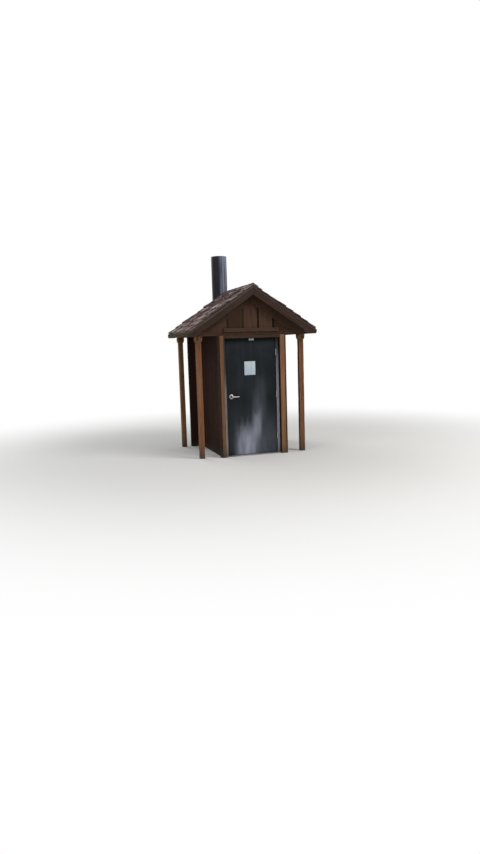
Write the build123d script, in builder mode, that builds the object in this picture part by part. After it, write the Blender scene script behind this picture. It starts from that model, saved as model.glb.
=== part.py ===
"""Wooden outhouse: a narrow hut under a shake roof on four posts, with a vent pipe behind it.

Millimetres. +X is to the right of the door, +Y runs from the door to the back, +Z is up.
The origin is at the middle of the outline on the ground. Depths below are first given from
the front face of the corner boards, and `depth()` turns them into the part's own Y.
"""
import os
from math import cos, radians, tan

from build123d import *

os.makedirs("parts", exist_ok=True)

# Driving dimensions of the door and its frame
DOOR_WIDTH = 914.0
DOOR_HEIGHT = 2035.0
DOOR_THICKNESS = 45.0
DOOR_GROUND_GAP = 20.0
DOOR_EDGE_GAP = 7.0
DOOR_SILL_GAP = 6.0
DOOR_STOP_GAP = 6.0
DOOR_SETBACK_DEPTH = 2.0
FRAME_FACE_WIDTH = 44.0
FRAME_STOP_WIDTH = 16.0
FRAME_RECESS_DEPTH = 105.0
LINTEL_HEIGHT = 48.0

# Driving dimensions of the hut
CORNER_BOARD_WIDTH = 107.0
CORNER_SIDE_WIDTH = 90.0
TRIM_THICKNESS = 25.0
FRONT_WALL_THICKNESS = 150.0
SIDE_WALL_THICKNESS = 90.0
SIDE_WALL_VENT_GAP = 120.0
BACK_WALL_POST_GAP = 95.0
FLOOR_THICKNESS = 20.0

# Driving dimensions of the posts and beams
TIMBER_WIDTH = 89.0
WALL_POST_GAP = 305.5
POST_FRONT_DEPTH = 80.0
POST_REAR_DEPTH = 1615.0
CAP_SPREAD_WIDTH = 18.0
CAP_HEIGHT = 96.0
CAP_CHAMFER_LENGTH = 14.0

# Driving dimensions of the roof
ROOF_PITCH_DEGREES = 33.4
EAVE_OVERHANG_LENGTH = 186.5
FRONT_OVERHANG_LENGTH = 200.0
FASCIA_HEIGHT = 69.0
SHAKE_THICKNESS = 25.0
SHAKE_DRIP_LENGTH = 12.0
DECK_THICKNESS = 19.0
RAFTER_DEPTH = 89.0
RAFTER_WIDTH = 38.0
RAFTER_SEAT_DEPTH = 6.0
RAFTER_PAIRS = 5
RIDGE_BOARD_HEIGHT = 140.0
RIDGE_CAP_THICKNESS = 18.0
RIDGE_CAP_WIDTH = 125.0
RAKE_BOARD_WIDTH = 127.0
RAKE_JOINT_GAP = 2.0
GABLE_THICKNESS = 19.0
DRIP_BOARD_HEIGHT = 63.0
DRIP_BOARD_BEAM_GAP = 60.0
DRIP_BOARD_END_GAP = 8.0

# Driving dimensions of the vent pipe
PIPE_DIAMETER = 304.8
PIPE_WALL_THICKNESS = 5.0
PIPE_RIDGE_HEIGHT = 685.0
PIPE_LEFT_OFFSET = 30.0
PIPE_WALL_GAP = 132.0
STRAP_HEIGHT = 40.0
STRAP_THICKNESS = 5.0
STRAP_ARM_INSET_LENGTH = 39.0
STRAP_FOOT_LENGTH = 40.0
LOWER_STRAP_HEIGHT = 620.0
UPPER_STRAP_BEAM_GAP = 170.0

# Driving dimensions of the hardware
HINGE_HEIGHT = 114.0
HINGE_PLATE_THICKNESS = 2.5
HINGE_PLATE_DEPTH = 34.0
HINGE_BARREL_RADIUS = 8.0
HINGE_PIN_RADIUS = 4.0
HINGE_PIN_GAP = 0.3
HINGE_KNUCKLE_GAP = 0.5
HINGE_BOTTOM_GAP = 240.0
HINGE_TOP_GAP = 195.0
LEVER_CENTRE_HEIGHT = 1050.0
LEVER_BACKSET_WIDTH = 75.0
LEVER_LENGTH = 130.0
LEVER_GRIP_HEIGHT = 20.0
LEVER_GRIP_THICKNESS = 14.0
LEVER_GRIP_FILLET = 5.0
LEVER_HUB_RADIUS = 13.0
LEVER_NECK_LENGTH = 36.0
SPINDLE_RADIUS = 8.0
SPINDLE_GAP = 1.0
ROSE_RADIUS = 39.0
ROSE_THICKNESS = 9.0
SIGN_WIDTH = 200.0
SIGN_HEIGHT = 238.0
SIGN_LEFT_OFFSET = 28.0
SIGN_CENTRE_HEIGHT = 1537.0
SIGN_THICKNESS = 3.0
HEAD_PLATE_WIDTH = 90.0
HEAD_PLATE_HEIGHT = 36.0
HEAD_PLATE_THICKNESS = 8.0
HEAD_PLATE_RIGHT_OFFSET = 10.0
HEAD_PLATE_TOP_GAP = 1.0

# Worked-out sizes of the doorway and the hut
DOOR_TOP = DOOR_GROUND_GAP + DOOR_HEIGHT
SILL_TOP = DOOR_GROUND_GAP - DOOR_SILL_GAP
JAMB_X = DOOR_WIDTH / 2 + DOOR_EDGE_GAP
STOP_X = JAMB_X - FRAME_STOP_WIDTH
OPENING_X = JAMB_X + FRAME_FACE_WIDTH
OPENING_TOP = DOOR_TOP + DOOR_EDGE_GAP
CORNER_X = OPENING_X + CORNER_BOARD_WIDTH
WALL_OUTER_X = CORNER_X - TRIM_THICKNESS
WALL_INNER_X = WALL_OUTER_X - SIDE_WALL_THICKNESS
BEAM_BOTTOM = OPENING_TOP + LINTEL_HEIGHT
BEAM_TOP = BEAM_BOTTOM + TIMBER_WIDTH

# Worked-out places of the posts
POST_INNER_X = WALL_OUTER_X + WALL_POST_GAP
POST_X = POST_INNER_X + TIMBER_WIDTH / 2
POST_OUTER_X = POST_INNER_X + TIMBER_WIDTH
BACK_WALL_X = POST_INNER_X - BACK_WALL_POST_GAP
CAP_WIDTH = TIMBER_WIDTH + 2 * CAP_SPREAD_WIDTH
CAP_BOTTOM = BEAM_BOTTOM - CAP_HEIGHT

# Worked-out levels of the roof, each the height at which its two slopes meet
PITCH_SLOPE = tan(radians(ROOF_PITCH_DEGREES))
PITCH_COSINE = cos(radians(ROOF_PITCH_DEGREES))
RAFTER_UNDERSIDE = BEAM_TOP - RAFTER_SEAT_DEPTH + POST_X * PITCH_SLOPE
RAFTER_APEX = RAFTER_UNDERSIDE + RAFTER_DEPTH / PITCH_COSINE
DECK_APEX = RAFTER_APEX + DECK_THICKNESS / PITCH_COSINE
SHAKE_APEX = DECK_APEX + SHAKE_THICKNESS / PITCH_COSINE
RIDGE_TOP = SHAKE_APEX + RIDGE_CAP_THICKNESS / PITCH_COSINE
RAKE_UNDERSIDE = DECK_APEX - RAKE_BOARD_WIDTH / PITCH_COSINE
ROOF_X = POST_OUTER_X + EAVE_OVERHANG_LENGTH
FASCIA_OUTER_X = ROOF_X - SHAKE_DRIP_LENGTH
FASCIA_INNER_X = FASCIA_OUTER_X - TRIM_THICKNESS
FASCIA_BOTTOM = DECK_APEX - FASCIA_OUTER_X * PITCH_SLOPE - FASCIA_HEIGHT

# Worked-out depths behind the front face of the corner boards
WALL_BACK_DEPTH = TRIM_THICKNESS + FRONT_WALL_THICKNESS
LEAF_FRONT_DEPTH = FRAME_RECESS_DEPTH + DOOR_SETBACK_DEPTH
LEAF_BACK_DEPTH = LEAF_FRONT_DEPTH + DOOR_THICKNESS
STOP_DEPTH = LEAF_BACK_DEPTH + DOOR_STOP_GAP
BACK_WALL_DEPTH = POST_REAR_DEPTH - TIMBER_WIDTH
RAKE_FRONT_DEPTH = POST_FRONT_DEPTH - FRONT_OVERHANG_LENGTH
GABLE_FRONT_DEPTH = POST_FRONT_DEPTH - GABLE_THICKNESS
GABLE_REAR_DEPTH = POST_REAR_DEPTH + GABLE_THICKNESS
RAKE_REAR_DEPTH = GABLE_REAR_DEPTH + TRIM_THICKNESS
DECK_FRONT_DEPTH = RAKE_FRONT_DEPTH + TRIM_THICKNESS
SHAKE_FRONT_DEPTH = RAKE_FRONT_DEPTH - SHAKE_DRIP_LENGTH
SHAKE_REAR_DEPTH = RAKE_REAR_DEPTH + SHAKE_DRIP_LENGTH
PIPE_RADIUS = PIPE_DIAMETER / 2
PIPE_DEPTH = POST_REAR_DEPTH + PIPE_WALL_GAP + PIPE_RADIUS

# The outline runs from the front edge of the shakes to the back of the pipe straps
MIDDLE_DEPTH = (SHAKE_FRONT_DEPTH + PIPE_DEPTH + PIPE_RADIUS + STRAP_THICKNESS) / 2


def depth(behind_front):
    """Gives the part's Y for a depth behind the front face of the corner boards."""
    return behind_front - MIDDLE_DEPTH


def box_outline(x_low, x_high, depth_low, depth_high):
    """Draws, in the open sketch on a level plane, the rectangle between two X and two depths."""
    with Locations(((x_low + x_high) / 2, depth((depth_low + depth_high) / 2))):
        Rectangle(x_high - x_low, depth_high - depth_low)


def upright_plane(depth_back):
    """Gives the plane across the hut at a depth, with X to the right and Z up, facing front."""
    return Plane.XZ.offset(-depth(depth_back))


def slope_level(apex, x):
    """Gives the height at X of a roof surface whose two slopes meet at the apex height."""
    return apex - abs(x) * PITCH_SLOPE


def slope_x(apex, level):
    """Gives the X at which a roof surface comes down to a height."""
    return (apex - level) / PITCH_SLOPE


def save(piece, label):
    """Labels a finished piece and writes it."""
    piece.part.label = label
    export_step(piece.part, f"parts/{label}.step")


# Floor and sill

with BuildPart() as floor_slab:
    with BuildSketch(Plane.XY):
        box_outline(-WALL_INNER_X, WALL_INNER_X, WALL_BACK_DEPTH, BACK_WALL_DEPTH)
    extrude(amount=FLOOR_THICKNESS)
save(floor_slab, "floor_slab")

with BuildPart() as door_sill:
    with BuildSketch(Plane.XY):
        box_outline(-OPENING_X, OPENING_X, TRIM_THICKNESS, WALL_BACK_DEPTH)
    extrude(amount=SILL_TOP)
save(door_sill, "door_sill")

# Walls of the hut

for side, label in ((-1, "left_wall"), (1, "right_wall")):
    with BuildPart() as side_wall:
        with BuildSketch(Plane.XY):
            wall_x = sorted((side * WALL_INNER_X, side * WALL_OUTER_X))
            box_outline(*wall_x, WALL_BACK_DEPTH, BACK_WALL_DEPTH)
        extrude(amount=slope_level(RAFTER_UNDERSIDE, WALL_OUTER_X) - SIDE_WALL_VENT_GAP)
    save(side_wall, label)

with BuildPart() as back_wall:
    with BuildSketch(Plane.XY):
        box_outline(-BACK_WALL_X, BACK_WALL_X, BACK_WALL_DEPTH, POST_REAR_DEPTH)
    extrude(amount=BEAM_BOTTOM)
save(back_wall, "back_wall")

for side, label in ((-1, "front_wall_left"), (1, "front_wall_right")):
    with BuildPart() as front_wall:
        with BuildSketch(Plane.XY):
            wall_x = sorted((side * OPENING_X, side * WALL_OUTER_X))
            box_outline(*wall_x, TRIM_THICKNESS, WALL_BACK_DEPTH)
        extrude(amount=BEAM_BOTTOM)
    save(front_wall, label)

with BuildPart() as door_lintel:
    with BuildSketch(Plane.XY.offset(OPENING_TOP)):
        box_outline(-OPENING_X, OPENING_X, 0, FRAME_RECESS_DEPTH)
    extrude(amount=BEAM_BOTTOM - OPENING_TOP)
save(door_lintel, "door_lintel")

for side, label in ((-1, "corner_board_left"), (1, "corner_board_right")):
    with BuildPart() as corner_board:
        with BuildSketch(Plane.XY):
            face_x = sorted((side * OPENING_X, side * CORNER_X))
            return_x = sorted((side * WALL_OUTER_X, side * CORNER_X))
            box_outline(*face_x, 0, TRIM_THICKNESS)
            box_outline(*return_x, 0, TRIM_THICKNESS + CORNER_SIDE_WIDTH)
        extrude(amount=BEAM_BOTTOM)
    save(corner_board, label)

# Steel door frame, with a rabbet that the leaf closes into and a stop behind it

for side, label in ((-1, "door_frame_left"), (1, "door_frame_right")):
    with BuildPart() as door_jamb:
        with BuildSketch(Plane.XY.offset(SILL_TOP)):
            jamb_x = sorted((side * JAMB_X, side * OPENING_X))
            stop_x = sorted((side * STOP_X, side * OPENING_X))
            box_outline(*jamb_x, FRAME_RECESS_DEPTH, WALL_BACK_DEPTH)
            box_outline(*stop_x, STOP_DEPTH, WALL_BACK_DEPTH)
        extrude(amount=OPENING_TOP - SILL_TOP)
    save(door_jamb, label)

with BuildPart() as door_frame_head:
    with BuildSketch(Plane.XY.offset(OPENING_TOP)):
        box_outline(-OPENING_X, OPENING_X, FRAME_RECESS_DEPTH, WALL_BACK_DEPTH)
    extrude(amount=BEAM_BOTTOM - OPENING_TOP)
    with BuildSketch(Plane.XY.offset(OPENING_TOP)):
        box_outline(-STOP_X, STOP_X, STOP_DEPTH, WALL_BACK_DEPTH)
    extrude(amount=-FRAME_STOP_WIDTH)
save(door_frame_head, "door_frame_head")

# Posts with a spreading cap on each

post_centres = [
    (side * POST_X, depth(centre_depth))
    for centre_depth in (POST_FRONT_DEPTH + TIMBER_WIDTH / 2, POST_REAR_DEPTH - TIMBER_WIDTH / 2)
    for side in (-1, 1)
]
post_labels = ("post_front_left", "post_front_right", "post_rear_left", "post_rear_right")

for centre, label in zip(post_centres, post_labels):
    with BuildPart() as post:
        with BuildSketch(Plane.XY):
            with Locations(centre):
                Rectangle(TIMBER_WIDTH, TIMBER_WIDTH)
        extrude(amount=CAP_BOTTOM)
    save(post, label)

with BuildPart() as post_caps:
    with BuildSketch(Plane.XY.offset(CAP_BOTTOM)):
        with Locations(*post_centres):
            Rectangle(CAP_WIDTH, CAP_WIDTH)
    extrude(amount=CAP_HEIGHT)
    chamfer(post_caps.faces().sort_by(Axis.Z)[:4].edges(), length=CAP_CHAMFER_LENGTH)
save(post_caps, "post_caps")

# Beams

for side, label in ((-1, "side_beam_left"), (1, "side_beam_right")):
    with BuildPart() as side_beam:
        with BuildSketch(Plane.XY.offset(BEAM_BOTTOM)):
            beam_x = sorted((side * POST_INNER_X, side * POST_OUTER_X))
            box_outline(*beam_x, POST_FRONT_DEPTH, POST_REAR_DEPTH)
        extrude(amount=TIMBER_WIDTH)
    save(side_beam, label)

for beam_depth, label in ((POST_FRONT_DEPTH, "front_beam"), (BACK_WALL_DEPTH, "rear_beam")):
    with BuildPart() as cross_beam:
        with BuildSketch(Plane.XY.offset(BEAM_BOTTOM)):
            box_outline(-POST_INNER_X, POST_INNER_X, beam_depth, beam_depth + TIMBER_WIDTH)
        extrude(amount=TIMBER_WIDTH)
    save(cross_beam, label)

# Ridge board and rafters, notched over the side beams

with BuildPart() as ridge_board:
    with BuildSketch(Plane.XY.offset(slope_level(RAFTER_APEX, RAFTER_WIDTH / 2))):
        box_outline(-RAFTER_WIDTH / 2, RAFTER_WIDTH / 2, POST_FRONT_DEPTH, POST_REAR_DEPTH)
    extrude(amount=-RIDGE_BOARD_HEIGHT)
save(ridge_board, "ridge_board")

rafter_step = (POST_REAR_DEPTH - POST_FRONT_DEPTH - RAFTER_WIDTH) / (RAFTER_PAIRS - 1)

with BuildPart() as rafters:
    for pair in range(RAFTER_PAIRS):
        rafter_back = POST_FRONT_DEPTH + RAFTER_WIDTH + pair * rafter_step
        with BuildSketch(upright_plane(rafter_back)):
            for side in (-1, 1):
                with BuildLine():
                    Polyline(
                        (side * RAFTER_WIDTH / 2, slope_level(RAFTER_APEX, RAFTER_WIDTH / 2)),
                        (side * FASCIA_INNER_X, slope_level(RAFTER_APEX, FASCIA_INNER_X)),
                        (side * FASCIA_INNER_X, BEAM_BOTTOM),
                        (side * slope_x(RAFTER_UNDERSIDE, BEAM_BOTTOM), BEAM_BOTTOM),
                        (side * RAFTER_WIDTH / 2, slope_level(RAFTER_UNDERSIDE, RAFTER_WIDTH / 2)),
                        close=True,
                    )
                make_face()
        extrude(amount=RAFTER_WIDTH)
    with BuildSketch(Plane.XY.offset(BEAM_BOTTOM)):
        box_outline(-POST_OUTER_X, POST_OUTER_X, POST_FRONT_DEPTH, POST_REAR_DEPTH)
    extrude(amount=TIMBER_WIDTH, mode=Mode.SUBTRACT)
save(rafters, "rafters")

# Roof layers: boards, then the body of the shakes, then the cap along the ridge

for side, label in ((-1, "roof_deck_left"), (1, "roof_deck_right")):
    with BuildPart() as roof_deck:
        with BuildSketch(upright_plane(GABLE_REAR_DEPTH)):
            with BuildLine():
                Polyline(
                    (0, DECK_APEX),
                    (side * FASCIA_INNER_X, slope_level(DECK_APEX, FASCIA_INNER_X)),
                    (side * FASCIA_INNER_X, slope_level(RAFTER_APEX, FASCIA_INNER_X)),
                    (0, RAFTER_APEX),
                    close=True,
                )
            make_face()
        extrude(amount=GABLE_REAR_DEPTH - DECK_FRONT_DEPTH)
    save(roof_deck, label)

for side, label in ((-1, "shakes_left"), (1, "shakes_right")):
    with BuildPart() as shakes:
        with BuildSketch(upright_plane(SHAKE_REAR_DEPTH)):
            with BuildLine():
                Polyline(
                    (0, SHAKE_APEX),
                    (side * ROOF_X, slope_level(SHAKE_APEX, ROOF_X)),
                    (side * ROOF_X, slope_level(DECK_APEX, ROOF_X)),
                    (0, DECK_APEX),
                    close=True,
                )
            make_face()
        extrude(amount=SHAKE_REAR_DEPTH - SHAKE_FRONT_DEPTH)
    save(shakes, label)

with BuildPart() as ridge_cap:
    with BuildSketch(upright_plane(SHAKE_REAR_DEPTH)):
        with BuildLine():
            cap_x = RIDGE_CAP_WIDTH * PITCH_COSINE
            Polyline(
                (0, RIDGE_TOP),
                (cap_x, slope_level(RIDGE_TOP, cap_x)),
                (cap_x, slope_level(SHAKE_APEX, cap_x)),
                (0, SHAKE_APEX),
                (-cap_x, slope_level(SHAKE_APEX, cap_x)),
                (-cap_x, slope_level(RIDGE_TOP, cap_x)),
                close=True,
            )
        make_face()
    extrude(amount=SHAKE_REAR_DEPTH - SHAKE_FRONT_DEPTH)
save(ridge_cap, "ridge_cap")

# Boards along the eaves and up the gables

for side, label in ((-1, "fascia_left"), (1, "fascia_right")):
    with BuildPart() as fascia:
        with BuildSketch(upright_plane(GABLE_REAR_DEPTH)):
            with BuildLine():
                Polyline(
                    (side * FASCIA_INNER_X, FASCIA_BOTTOM),
                    (side * FASCIA_OUTER_X, FASCIA_BOTTOM),
                    (side * FASCIA_OUTER_X, slope_level(DECK_APEX, FASCIA_OUTER_X)),
                    (side * FASCIA_INNER_X, slope_level(DECK_APEX, FASCIA_INNER_X)),
                    close=True,
                )
            make_face()
        extrude(amount=GABLE_REAR_DEPTH - DECK_FRONT_DEPTH)
    save(fascia, label)

for back_depth, label in ((DECK_FRONT_DEPTH, "rake_boards_front"), (RAKE_REAR_DEPTH, "rake_boards_rear")):
    with BuildPart() as rake_boards:
        with BuildSketch(upright_plane(back_depth)):
            for side in (-1, 1):
                with BuildLine():
                    Polyline(
                        (side * RAKE_JOINT_GAP / 2, slope_level(DECK_APEX, RAKE_JOINT_GAP / 2)),
                        (side * FASCIA_OUTER_X, slope_level(DECK_APEX, FASCIA_OUTER_X)),
                        (side * FASCIA_OUTER_X, FASCIA_BOTTOM),
                        (side * slope_x(RAKE_UNDERSIDE, FASCIA_BOTTOM), FASCIA_BOTTOM),
                        (side * RAKE_JOINT_GAP / 2, slope_level(RAKE_UNDERSIDE, RAKE_JOINT_GAP / 2)),
                        close=True,
                    )
                make_face()
        extrude(amount=TRIM_THICKNESS)
    save(rake_boards, label)

for back_depth, label in ((POST_FRONT_DEPTH, "front_gable"), (GABLE_REAR_DEPTH, "rear_gable")):
    with BuildPart() as gable:
        with BuildSketch(upright_plane(back_depth)):
            with BuildLine():
                Polyline(
                    (-POST_OUTER_X, BEAM_BOTTOM),
                    (POST_OUTER_X, BEAM_BOTTOM),
                    (POST_OUTER_X, slope_level(RAFTER_APEX, POST_OUTER_X)),
                    (0, RAFTER_APEX),
                    (-POST_OUTER_X, slope_level(RAFTER_APEX, POST_OUTER_X)),
                    close=True,
                )
            make_face()
        extrude(amount=GABLE_THICKNESS)
    save(gable, label)

with BuildPart() as drip_board:
    with BuildSketch(Plane.XY.offset(BEAM_BOTTOM + DRIP_BOARD_BEAM_GAP)):
        drip_half = OPENING_X - DRIP_BOARD_END_GAP
        box_outline(-drip_half, drip_half, GABLE_FRONT_DEPTH - TRIM_THICKNESS, GABLE_FRONT_DEPTH)
    extrude(amount=DRIP_BOARD_HEIGHT)
save(drip_board, "drip_board")

# Vent pipe behind the hut, strapped to the back wall

PIPE_X = -PIPE_LEFT_OFFSET
pipe_centre = (PIPE_X, depth(PIPE_DEPTH))

with BuildPart() as vent_pipe:
    with BuildSketch(Plane.XY):
        with Locations(pipe_centre):
            Circle(PIPE_RADIUS)
            Circle(PIPE_RADIUS - PIPE_WALL_THICKNESS, mode=Mode.SUBTRACT)
    extrude(amount=RIDGE_TOP + PIPE_RIDGE_HEIGHT)
save(vent_pipe, "vent_pipe")

STRAP_ARM_REACH = PIPE_RADIUS - STRAP_ARM_INSET_LENGTH
STRAP_FOOT_REACH = STRAP_ARM_REACH + STRAP_FOOT_LENGTH
STRAP_FOOT_DEPTH = POST_REAR_DEPTH + STRAP_THICKNESS

with BuildPart() as pipe_straps:
    for level in (LOWER_STRAP_HEIGHT, BEAM_BOTTOM - UPPER_STRAP_BEAM_GAP - STRAP_HEIGHT):
        with BuildSketch(Plane.XY.offset(level)):
            with Locations(pipe_centre):
                Circle(PIPE_RADIUS + STRAP_THICKNESS)
            for side in (-1, 1):
                arm_x = PIPE_X + side * STRAP_ARM_REACH
                arm_low_x, arm_high_x = arm_x - STRAP_THICKNESS / 2, arm_x + STRAP_THICKNESS / 2
                box_outline(arm_low_x, arm_high_x, POST_REAR_DEPTH, PIPE_DEPTH)
            foot_low_x, foot_high_x = PIPE_X - STRAP_FOOT_REACH, PIPE_X + STRAP_FOOT_REACH
            box_outline(foot_low_x, foot_high_x, POST_REAR_DEPTH, STRAP_FOOT_DEPTH)
            with Locations(pipe_centre):
                Circle(PIPE_RADIUS, mode=Mode.SUBTRACT)
        extrude(amount=STRAP_HEIGHT)
save(pipe_straps, "pipe_straps")

# Door leaf, bored for the lever's spindle

LEVER_X = -DOOR_WIDTH / 2 + LEVER_BACKSET_WIDTH

with BuildPart() as door_leaf:
    with BuildSketch(Plane.XY.offset(DOOR_GROUND_GAP)):
        box_outline(-DOOR_WIDTH / 2, DOOR_WIDTH / 2, LEAF_FRONT_DEPTH, LEAF_BACK_DEPTH)
    extrude(amount=DOOR_HEIGHT)
    with BuildSketch(upright_plane(LEAF_BACK_DEPTH)):
        with Locations((LEVER_X, LEVER_CENTRE_HEIGHT)):
            Circle(SPINDLE_RADIUS + SPINDLE_GAP)
    extrude(amount=DOOR_THICKNESS, mode=Mode.SUBTRACT)
save(door_leaf, "door_leaf")

with BuildPart() as sign_plate:
    with BuildSketch(upright_plane(LEAF_FRONT_DEPTH)):
        with Locations((-SIGN_LEFT_OFFSET, SIGN_CENTRE_HEIGHT)):
            Rectangle(SIGN_WIDTH, SIGN_HEIGHT)
    extrude(amount=SIGN_THICKNESS)
save(sign_plate, "sign_plate")

with BuildPart() as head_plate:
    with BuildSketch(upright_plane(LEAF_FRONT_DEPTH)):
        head_plate_level = DOOR_TOP - HEAD_PLATE_TOP_GAP - HEAD_PLATE_HEIGHT / 2
        with Locations((HEAD_PLATE_RIGHT_OFFSET, head_plate_level)):
            Rectangle(HEAD_PLATE_WIDTH, HEAD_PLATE_HEIGHT)
    extrude(amount=HEAD_PLATE_THICKNESS)
save(head_plate, "head_plate")

# Lever handles inside and outside, on one spindle, turning in a rose on each face

with BuildPart() as lever_roses:
    for back_depth in (LEAF_FRONT_DEPTH, LEAF_BACK_DEPTH + ROSE_THICKNESS):
        with BuildSketch(upright_plane(back_depth)):
            with Locations((LEVER_X, LEVER_CENTRE_HEIGHT)):
                Circle(ROSE_RADIUS)
                Circle(SPINDLE_RADIUS + SPINDLE_GAP, mode=Mode.SUBTRACT)
        extrude(amount=ROSE_THICKNESS)
save(lever_roses, "lever_roses")

ROSE_OUTER_DEPTH = LEAF_FRONT_DEPTH - ROSE_THICKNESS
ROSE_INNER_DEPTH = LEAF_BACK_DEPTH + ROSE_THICKNESS
GRIP_OUTER_DEPTH = ROSE_OUTER_DEPTH - LEVER_NECK_LENGTH
GRIP_INNER_DEPTH = ROSE_INNER_DEPTH + LEVER_NECK_LENGTH

with BuildPart() as door_lever:
    with BuildSketch(upright_plane(GRIP_INNER_DEPTH)):
        with Locations((LEVER_X, LEVER_CENTRE_HEIGHT)):
            Circle(SPINDLE_RADIUS)
    extrude(amount=GRIP_INNER_DEPTH - GRIP_OUTER_DEPTH)
    for grip_back in (GRIP_OUTER_DEPTH, GRIP_INNER_DEPTH + LEVER_GRIP_THICKNESS):
        with BuildSketch(upright_plane(grip_back)):
            with Locations((LEVER_X, LEVER_CENTRE_HEIGHT)):
                Circle(LEVER_HUB_RADIUS)
            with Locations((LEVER_X + LEVER_LENGTH / 2, LEVER_CENTRE_HEIGHT)):
                Rectangle(LEVER_LENGTH, LEVER_GRIP_HEIGHT)
        extrude(amount=LEVER_GRIP_THICKNESS)
    grip_ends = door_lever.edges().filter_by(Axis.Y).group_by(Axis.X)[-1]
    fillet(grip_ends, radius=LEVER_GRIP_FILLET)
save(door_lever, "door_lever")

# Butt hinges: outer knuckles and pin on the frame, middle knuckle on the leaf

HINGE_X = DOOR_WIDTH / 2 + DOOR_EDGE_GAP / 2
HINGE_DEPTH = FRAME_RECESS_DEPTH - HINGE_BARREL_RADIUS - HINGE_KNUCKLE_GAP
KNUCKLE_HEIGHT = HINGE_HEIGHT / 3
LOWER_HINGE_LEVEL = DOOR_GROUND_GAP + HINGE_BOTTOM_GAP
UPPER_HINGE_LEVEL = DOOR_TOP - HINGE_TOP_GAP - HINGE_HEIGHT
HINGE_LEVELS = (
    LOWER_HINGE_LEVEL,
    (LOWER_HINGE_LEVEL + UPPER_HINGE_LEVEL) / 2,
    UPPER_HINGE_LEVEL,
)
PLATE_FRONT_DEPTH = FRAME_RECESS_DEPTH + HINGE_KNUCKLE_GAP
PLATE_BACK_DEPTH = PLATE_FRONT_DEPTH + HINGE_PLATE_DEPTH
FRAME_PLATE_X = (JAMB_X - HINGE_PLATE_THICKNESS, JAMB_X)
LEAF_PLATE_X = (DOOR_WIDTH / 2, DOOR_WIDTH / 2 + HINGE_PLATE_THICKNESS)

with BuildPart() as frame_hinges:
    for level in HINGE_LEVELS:
        with BuildSketch(Plane.XY.offset(level)):
            box_outline(*FRAME_PLATE_X, PLATE_FRONT_DEPTH, PLATE_BACK_DEPTH)
        extrude(amount=HINGE_HEIGHT)
        for knuckle_level in (level, level + 2 * KNUCKLE_HEIGHT):
            with BuildSketch(Plane.XY.offset(knuckle_level)):
                with Locations((HINGE_X, depth(HINGE_DEPTH))):
                    Circle(HINGE_BARREL_RADIUS)
                box_outline(*FRAME_PLATE_X, HINGE_DEPTH, PLATE_FRONT_DEPTH)
            extrude(amount=KNUCKLE_HEIGHT)
        with BuildSketch(Plane.XY.offset(level)):
            with Locations((HINGE_X, depth(HINGE_DEPTH))):
                Circle(HINGE_PIN_RADIUS)
        extrude(amount=HINGE_HEIGHT)
save(frame_hinges, "frame_hinges")

with BuildPart() as leaf_hinges:
    for level in HINGE_LEVELS:
        with BuildSketch(Plane.XY.offset(level)):
            box_outline(*LEAF_PLATE_X, PLATE_FRONT_DEPTH, PLATE_BACK_DEPTH)
        extrude(amount=HINGE_HEIGHT)
        with BuildSketch(Plane.XY.offset(level + KNUCKLE_HEIGHT + HINGE_KNUCKLE_GAP)):
            with Locations((HINGE_X, depth(HINGE_DEPTH))):
                Circle(HINGE_BARREL_RADIUS)
            box_outline(*LEAF_PLATE_X, HINGE_DEPTH, PLATE_FRONT_DEPTH)
            with Locations((HINGE_X, depth(HINGE_DEPTH))):
                Circle(HINGE_PIN_RADIUS + HINGE_PIN_GAP, mode=Mode.SUBTRACT)
        extrude(amount=KNUCKLE_HEIGHT - 2 * HINGE_KNUCKLE_GAP)
save(leaf_hinges, "leaf_hinges")
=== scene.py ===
"""Looks of a wooden outhouse: a dark hut under a shake roof on four posts, with a vent pipe behind.

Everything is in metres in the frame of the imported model: +X to the right of the door, +Y from the
door to the back, +Z up, with the ground at zero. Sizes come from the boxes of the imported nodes.
Boards, shakes and metalwork are surfaces worked out as whole arrays, and each carries its own
grain coordinates, so that a finish follows the wood of every single board.
"""

import logging
from collections.abc import Callable, Sequence
from dataclasses import dataclass, field, replace
from enum import Enum
from functools import partial
from math import atan, cos, pi, radians, sin, tan
from typing import ClassVar

import bpy
import numpy as np
from mathutils import Matrix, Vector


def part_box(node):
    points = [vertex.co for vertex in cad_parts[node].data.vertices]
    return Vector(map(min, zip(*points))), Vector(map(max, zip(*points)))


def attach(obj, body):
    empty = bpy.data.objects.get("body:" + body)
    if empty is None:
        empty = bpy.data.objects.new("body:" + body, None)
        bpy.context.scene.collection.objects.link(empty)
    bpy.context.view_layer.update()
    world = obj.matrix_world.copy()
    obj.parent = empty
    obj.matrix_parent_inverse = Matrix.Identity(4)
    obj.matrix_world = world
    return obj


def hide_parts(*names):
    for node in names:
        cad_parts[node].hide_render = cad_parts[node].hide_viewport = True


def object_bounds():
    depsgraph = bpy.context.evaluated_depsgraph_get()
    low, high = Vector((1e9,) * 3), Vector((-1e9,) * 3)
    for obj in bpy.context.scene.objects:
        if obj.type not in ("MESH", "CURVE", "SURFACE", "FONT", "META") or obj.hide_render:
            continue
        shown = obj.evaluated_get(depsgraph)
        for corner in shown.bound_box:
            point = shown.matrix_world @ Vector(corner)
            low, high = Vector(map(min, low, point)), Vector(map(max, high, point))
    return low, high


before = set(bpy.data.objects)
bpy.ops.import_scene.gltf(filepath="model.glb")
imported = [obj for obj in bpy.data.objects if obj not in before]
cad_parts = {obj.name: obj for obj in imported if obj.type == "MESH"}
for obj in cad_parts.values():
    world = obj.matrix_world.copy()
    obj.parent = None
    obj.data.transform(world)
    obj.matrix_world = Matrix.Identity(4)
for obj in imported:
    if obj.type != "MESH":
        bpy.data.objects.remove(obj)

LOG = logging.getLogger("outhouse")
CAD_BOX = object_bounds()
PHOTO_WIDTH, PHOTO_HEIGHT = 480, 854

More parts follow.
